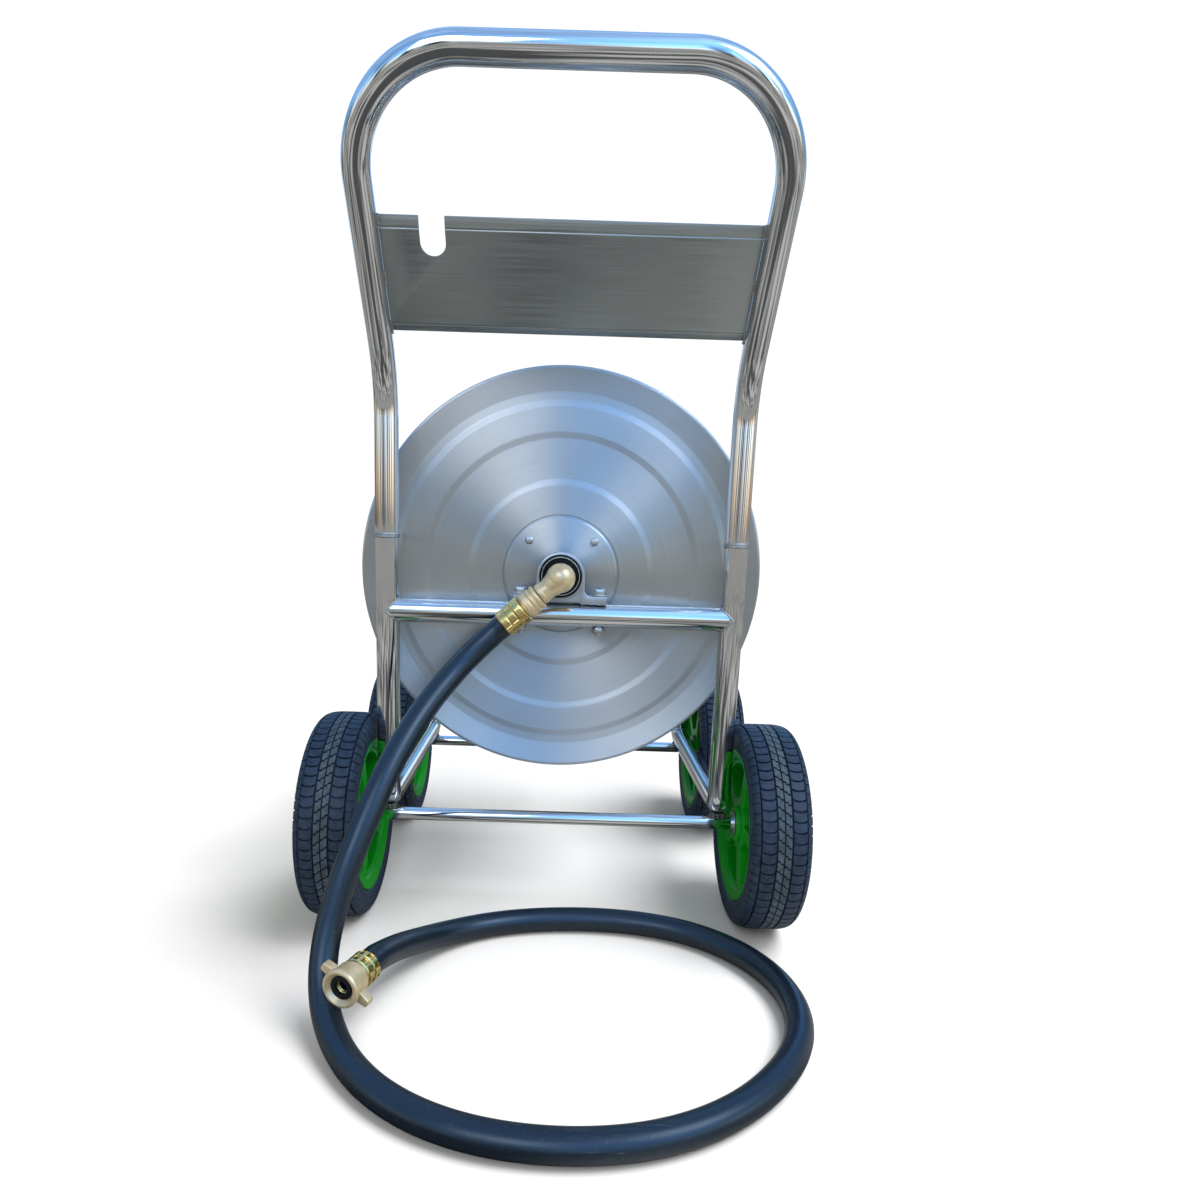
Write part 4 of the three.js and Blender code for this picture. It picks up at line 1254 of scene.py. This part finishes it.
def inlet():
    """The brass elbow with its ball and spigot, the collar, and the nut on the hose."""
    aim = Matrix.Rotation(-math.pi / 2 - ELBOW_DROP, 4, "Y")
    barrel_place = at(*ELBOW, aim)
    shaft_place = at(*ELBOW, ALONG_Y)
    ball_line = [(17 * math.cos(a), 17 * math.sin(a))
                 for a in (math.radians(d) for d in range(-90, 91, 5))]
    ball_line[0] = (0, -17)
    ball_line[-1] = (0, 17)
    ball = revolve("ball", mm(ball_line), 64, shaft_place)
    neck = turned("neck", [(0, 4), (15.6, 4), (14.2, 14), (12.6, 17), (12.6, 21.7), (0, 21.7)],
        0.0015, 64, shaft_place)
    barrel = turned("barrel", [(0, 2), (14.6, 8), (12.6, 14.5), (11.7, 18), (11.6, 25), (12.4, 27),
        (12.4, 31), (0, 31.6)], 0.0025, 64, barrel_place)
    spigot = turned("spigot", [(0, 20), (6, 20), (6, 61.7), (0, 61.7)], 0.0005, 32, shaft_place)
    elbow = joined("fine_inlet_elbow", [barrel, ball, neck, spigot])
    piece(elbow, "frame", "brass", BRASS, "inlet_elbow")

    collar_line = eased(mm([
        (8, 31.9), (12.8, 31.9), (14.9, 33), (15.4, 34.4), (15.2, 36), (13.7, 37), (13.7, 38.2),
        (15.1, 39.2), (15.4, 40.6), (15.2, 42), (14.3, 43), (14.3, 44), (15.2, 45), (15.4, 50.6),
        (14.6, 52), (13.2, 54.2), (8, 54.2)]), 0.0006, True)
    collar = revolve("fine_inlet_collar", collar_line, 144, barrel_place, closed=True,
                     shape=knurl(36, 0.16 * MM, 0.0445, 0.0512))
    piece(collar, "frame", "brass", BRASS, "inlet_collar")

    nut_line = eased(mm([
        (8, 54.5), (15.4, 54.5), (16.9, 55.6), (17.1, 57), (17, 64), (16, 65.2), (15.6, 66),
        (16.4, 66.8), (16.4, 73.8), (15.6, 74.6), (15.6, 75.8), (16.4, 76.6), (16.4, 83.6),
        (15.4, 85.2), (8, 85.2)]), 0.0005, True)
    nut_line = fine_rows([*nut_line, nut_line[0]], 0.0012)[:-1]
    nut = revolve("fine_inlet_hose_nut", nut_line, 180, barrel_place, closed=True,
                  shape=lugs(9, ((0.0668, 0.0738), (0.0766, 0.0836)), 0.9 * MM, 16.4 * MM))
    piece(nut, "frame", "polished_brass", GOLD, "inlet_hose_nut")


def coupling():
    """Winged swivel nut, washer and crimped ferrule. Heights run back from the mouth."""
    place = at(*COUPLING_MOUTH, Matrix.Rotation(-COUPLING_YAW, 4, "Z") @ ALONG_MINUS_Y)
    shell_line = eased(mm([
        (8.7, -25), (15.4, -25), (16.6, -24), (17.3, -22), (17.5, -8), (17.2, -7), (17.4, -6.4),
        (19.3, -5.6), (19.6, -4.6), (19.6, -2.6), (18.6, -0.6), (17.4, 0), (16.2, 0),
        (15.3, -0.6), (12.8, -3.6), (12, -4.4), (12, -9.5), (8.7, -9.5)]), 0.0006, True)
    shell_line = fine_rows([*shell_line, shell_line[0]], 0.002)[:-1]
    shell = revolve("shell", shell_line, 216, place, closed=True,
                    shape=lambda r, h, a: r + (0.14 * MM * math.cos(54 * a)
                                               if r > 0.0165 and h < -0.0068 else 0))
    parts = [shell]
    tilt = math.radians(-30)
    for turn in (0, math.pi):
        outline = mm([(14, -5.4), (22, -4.8), (27.8, -4.0), (29.2, -2.8), (29.2, 2.8), (27.8, 4.0),
                      (22, 4.8), (14, 5.4)])
        wing = plate("wing", outline, 9 * MM, place @ Matrix.Rotation(turn + tilt, 4, "Z")
                     @ Matrix.Translation((0, 0, -17.5 * MM)))
        parts.append(bevelled(wing, 0.0011, 3, 25))
    nut = joined("fine_end_swivel_nut", parts)
    piece(nut, "end_swivel", "brass", BRASS, "end_swivel_nut")

    washer = turned("fine_end_washer", [(6.6, -6.4), (11.7, -6.4), (11.7, -3.8), (11, -3.4),
        (7.2, -3.4), (6.6, -3.8)], 0.0004, 64, place, hollow=True)
    piece(washer, "frame", "black_rubber", BLACK, "end_washer")
    lining = turned("end_hose_lining", [(0, -26), (5.6, -26), (5.6, -9.5), (4.8, -9.5), (4.8, -24),
        (0, -24)], 0.0002, 48, place)
    piece(lining, "frame", "hose_rubber", BLACK)

    ferrule_line = eased(mm([
        (5.8, -46.9), (15.4, -46.9), (16.2, -46), (16.4, -45.4), (16.4, -38.4), (15.5, -37.6),
        (15.5, -36.4), (16.4, -35.6), (16.4, -28.6), (15.4, -27.6), (15, -25.4), (8, -25.4),
        (8, -9.1), (11, -9.1), (11, -6.7), (6.5, -6.7), (5.9, -7.3), (6.5, -7.9), (5.9, -8.5),
        (6.5, -9.1), (5.8, -9.8)]), 0.0003, True)
    ferrule_line = fine_rows([*ferrule_line, ferrule_line[0]], 0.0012)[:-1]
    ferrule = revolve("fine_end_ferrule", ferrule_line, 180, place, closed=True,
                      shape=lugs(9, ((-0.0454, -0.0384), (-0.0356, -0.0286)), 0.9 * MM,
                                 16.4 * MM))
    piece(ferrule, "frame", "polished_brass", GOLD, "end_ferrule")
    return nut, washer, lining, ferrule


# ---------------------------------------------------------------- studio
class Nodes:
    """Short ways to build the world's shader."""

    def __init__(self, tree):
        self.tree = tree

    def node(self, kind, **values):
        node = self.tree.nodes.new(kind)
        for key, value in values.items():
            if key in node.inputs:
                node.inputs[key].default_value = value
            else:
                setattr(node, key, value)
        return node

    def link(self, source, target):
        self.tree.links.new(source, target)

    def ranged(self, value, from_low, from_high, low, high):
        node = self.node("ShaderNodeMapRange")
        numbers = (from_low, from_high, low, high)
        for key, number in zip(("From Min", "From Max", "To Min", "To Max"), numbers):
            node.inputs[key].default_value = number
        self.link(value, node.inputs["Value"])
        return node.outputs["Result"]

    def background(self, color, strength):
        node = self.node("ShaderNodeBackground")
        for source, socket in ((color, "Color"), (strength, "Strength")):
            if isinstance(source, (tuple, float)):
                node.inputs[socket].default_value = source
            else:
                self.link(source, node.inputs[socket])
        return node.outputs["Background"]

    def either(self, factor, first, second):
        node = self.node("ShaderNodeMixShader")
        self.link(factor, node.inputs["Fac"])
        self.link(first, node.inputs[1])
        self.link(second, node.inputs[2])
        return node.outputs["Shader"]


def reflected_sky(nodes, direction, across, height):
    """What metal mirrors: a banded horizon under a clear sky, warmer to the sides, and a glow."""
    stops = [(0.0, (0.16, 0.16, 0.16)), (0.499, (0.30, 0.30, 0.30)), (0.503, (0.42, 0.40, 0.38)),
             (0.520, (0.58, 0.58, 0.57)), (0.550, (0.66, 0.86, 1.04)), (0.61, (0.38, 0.76, 1.30)),
             (0.75, (0.22, 0.54, 1.20)), (1.0, (0.38, 0.64, 1.08))]
    ramp = nodes.node("ShaderNodeValToRGB")
    elements = ramp.color_ramp.elements
    while len(elements) < len(stops):
        elements.new(0.5)
    for element, (position, color) in zip(elements, stops):
        element.position = position
        element.color = (*color, 1)
    nodes.link(nodes.ranged(height, -1, 1, 0, 1), ramp.inputs["Fac"])
    stretch = nodes.node("ShaderNodeMapping")
    stretch.inputs["Scale"].default_value = (1, 1, 0.2)
    nodes.link(direction, stretch.inputs["Vector"])
    noise = nodes.node("ShaderNodeTexNoise", Scale=4.3, Detail=3.0)
    nodes.link(stretch.outputs["Vector"], noise.inputs["Vector"])
    bands = nodes.ranged(noise.outputs["Fac"], 0.43, 0.58, 0.05, 1.6)
    shade = nodes.node("ShaderNodeMix", data_type="RGBA", blend_type="MULTIPLY")
    nodes.link(nodes.ranged(height, 0.10, 0.55, 1, 0.2), shade.inputs["Factor"])
    nodes.link(ramp.outputs["Color"], shade.inputs[6])
    nodes.link(bands, shade.inputs[7])
    sideways = nodes.node("ShaderNodeMath", operation="ABSOLUTE")
    nodes.link(across, sideways.inputs[0])
    warm = nodes.node("ShaderNodeMix", data_type="RGBA", blend_type="MULTIPLY")
    warm.inputs[7].default_value = (1.22, 1.0, 0.80, 1)
    nodes.link(nodes.ranged(sideways.outputs["Value"], 0.4, 0.9, 0, 1), warm.inputs["Factor"])
    nodes.link(shade.outputs[2], warm.inputs[6])
    facing = nodes.node("ShaderNodeVectorMath", operation="DOT_PRODUCT")
    facing.inputs[1].default_value = (0.60, -0.62, 0.50)
    nodes.link(direction, facing.inputs[0])
    glow = nodes.node("ShaderNodeVectorMath", operation="SCALE")
    nodes.link(warm.outputs[2], glow.inputs["Vector"])
    nodes.link(nodes.ranged(facing.outputs["Value"], 0.70, 0.99, 1.0, 2.1), glow.inputs["Scale"])
    return glow.outputs["Vector"]


def sky():
    """White to the eye, white from the right on matt surfaces, and a sky in reflections."""
    world = bpy.data.worlds.new("studio")
    bpy.context.scene.world = world
    world.use_nodes = True
    world.cycles.sampling_method = "NONE"
    nodes = Nodes(world.node_tree)
    direction = nodes.node("ShaderNodeTexCoord").outputs["Generated"]
    split = nodes.node("ShaderNodeSeparateXYZ")
    nodes.link(direction, split.inputs["Vector"])
    white = (1.0, 1.0, 1.0, 1.0)
    mirrored = nodes.background(reflected_sky(nodes, direction, split.outputs["X"],
                                              split.outputs["Z"]), 1.0)
    soft = nodes.background(white, nodes.ranged(split.outputs["X"], -1, 1, 0.14, 0.80))
    seen = nodes.background(white, 1.05)
    paths = nodes.node("ShaderNodeLightPath")
    surface = nodes.either(paths.outputs["Is Glossy Ray"], soft, mirrored)
    surface = nodes.either(paths.outputs["Is Camera Ray"], surface, seen)
    nodes.link(surface, world.node_tree.nodes["World Output"].inputs["Surface"])


def floor():
    """A large pale floor, which metal mirrors as mottled grey ground, paler far away."""
    size = 30.0
    mesh = bpy.data.meshes.new("floor")
    mesh.from_pydata([(-size, -size, 0), (size, -size, 0), (size, size, 0), (-size, size, 0)],
                     [], [(0, 1, 2, 3)])
    ground = placed("floor", mesh)
    shader = Shader("floor", (0.90, 0.90, 0.90), 0.9, Specular_IOR_Level=0.0)
    nodes = Nodes(shader.tree)
    mottle = shader.grain(1.8, 2)
    mirrored = nodes.node("ShaderNodeBsdfDiffuse")
    mix = nodes.node("ShaderNodeMix", data_type="RGBA")
    mix.inputs[6].default_value = (0.06, 0.063, 0.065, 1)
    mix.inputs[7].default_value = (0.42, 0.42, 0.41, 1)
    nodes.link(shader.spread(mottle, 0, 1, 0.44, 0.57), mix.inputs["Factor"])
    distance = nodes.node("ShaderNodeVectorMath", operation="LENGTH")
    nodes.link(shader.place((1, 1, 1)), distance.inputs[0])
    far = nodes.node("ShaderNodeMix", data_type="RGBA")
    far.inputs[7].default_value = (0.38, 0.385, 0.38, 1)
    nodes.link(nodes.ranged(distance.outputs["Value"], 1.6, 6.0, 0, 0.6), far.inputs["Factor"])
    nodes.link(mix.outputs[2], far.inputs[6])
    nodes.link(far.outputs[2], mirrored.inputs["Color"])
    paths = nodes.node("ShaderNodeLightPath")
    surface = nodes.either(paths.outputs["Is Glossy Ray"], shader.bsdf.outputs["BSDF"],
                           mirrored.outputs["BSDF"])
    nodes.link(surface, shader.tree.nodes["Material Output"].inputs["Surface"])
    mesh.materials.append(shader.material)


def lamp(name, kind, place, target, power, color):
    data = bpy.data.lights.new(name, kind)
    data.energy = power
    data.color = color
    light = bpy.data.objects.new(name, data)
    aim = Vector(target) - Vector(place)
    light.matrix_world = at(*place, aim.to_track_quat("-Z", "Y").to_matrix().to_4x4())
    bpy.context.scene.collection.objects.link(light)
    return light


def studio():
    sky()
    floor()
    sun = lamp("overhead", "SUN", (1.5, 0.1, 3.0), (0, 0.1, 0), 2.4, (1, 1, 1))
    sun.data.angle = math.radians(38)
    sun.visible_glossy = False
    for name, place, size, power in (("key", (1.9, -1.4, 2.6), 1.5, 26),
                                     ("front", (-1.0, -3.0, 2.2), 1.6, 22)):
        light = lamp(name, "AREA", place, (0, 0, 0.4), power, (1.0, 0.98, 0.95))
        light.data.size = size
    bpy.context.scene.view_settings.view_transform = "Standard"


make_camera()
hose, hose_exit = lead_in_hose()
end_pieces = coupling()
frame_tubes()
tool_plate()
for end, y in ENDS:
    pillow_block(end, y)
reel()
shaft_and_crank()
wheels()
inlet()
studio()
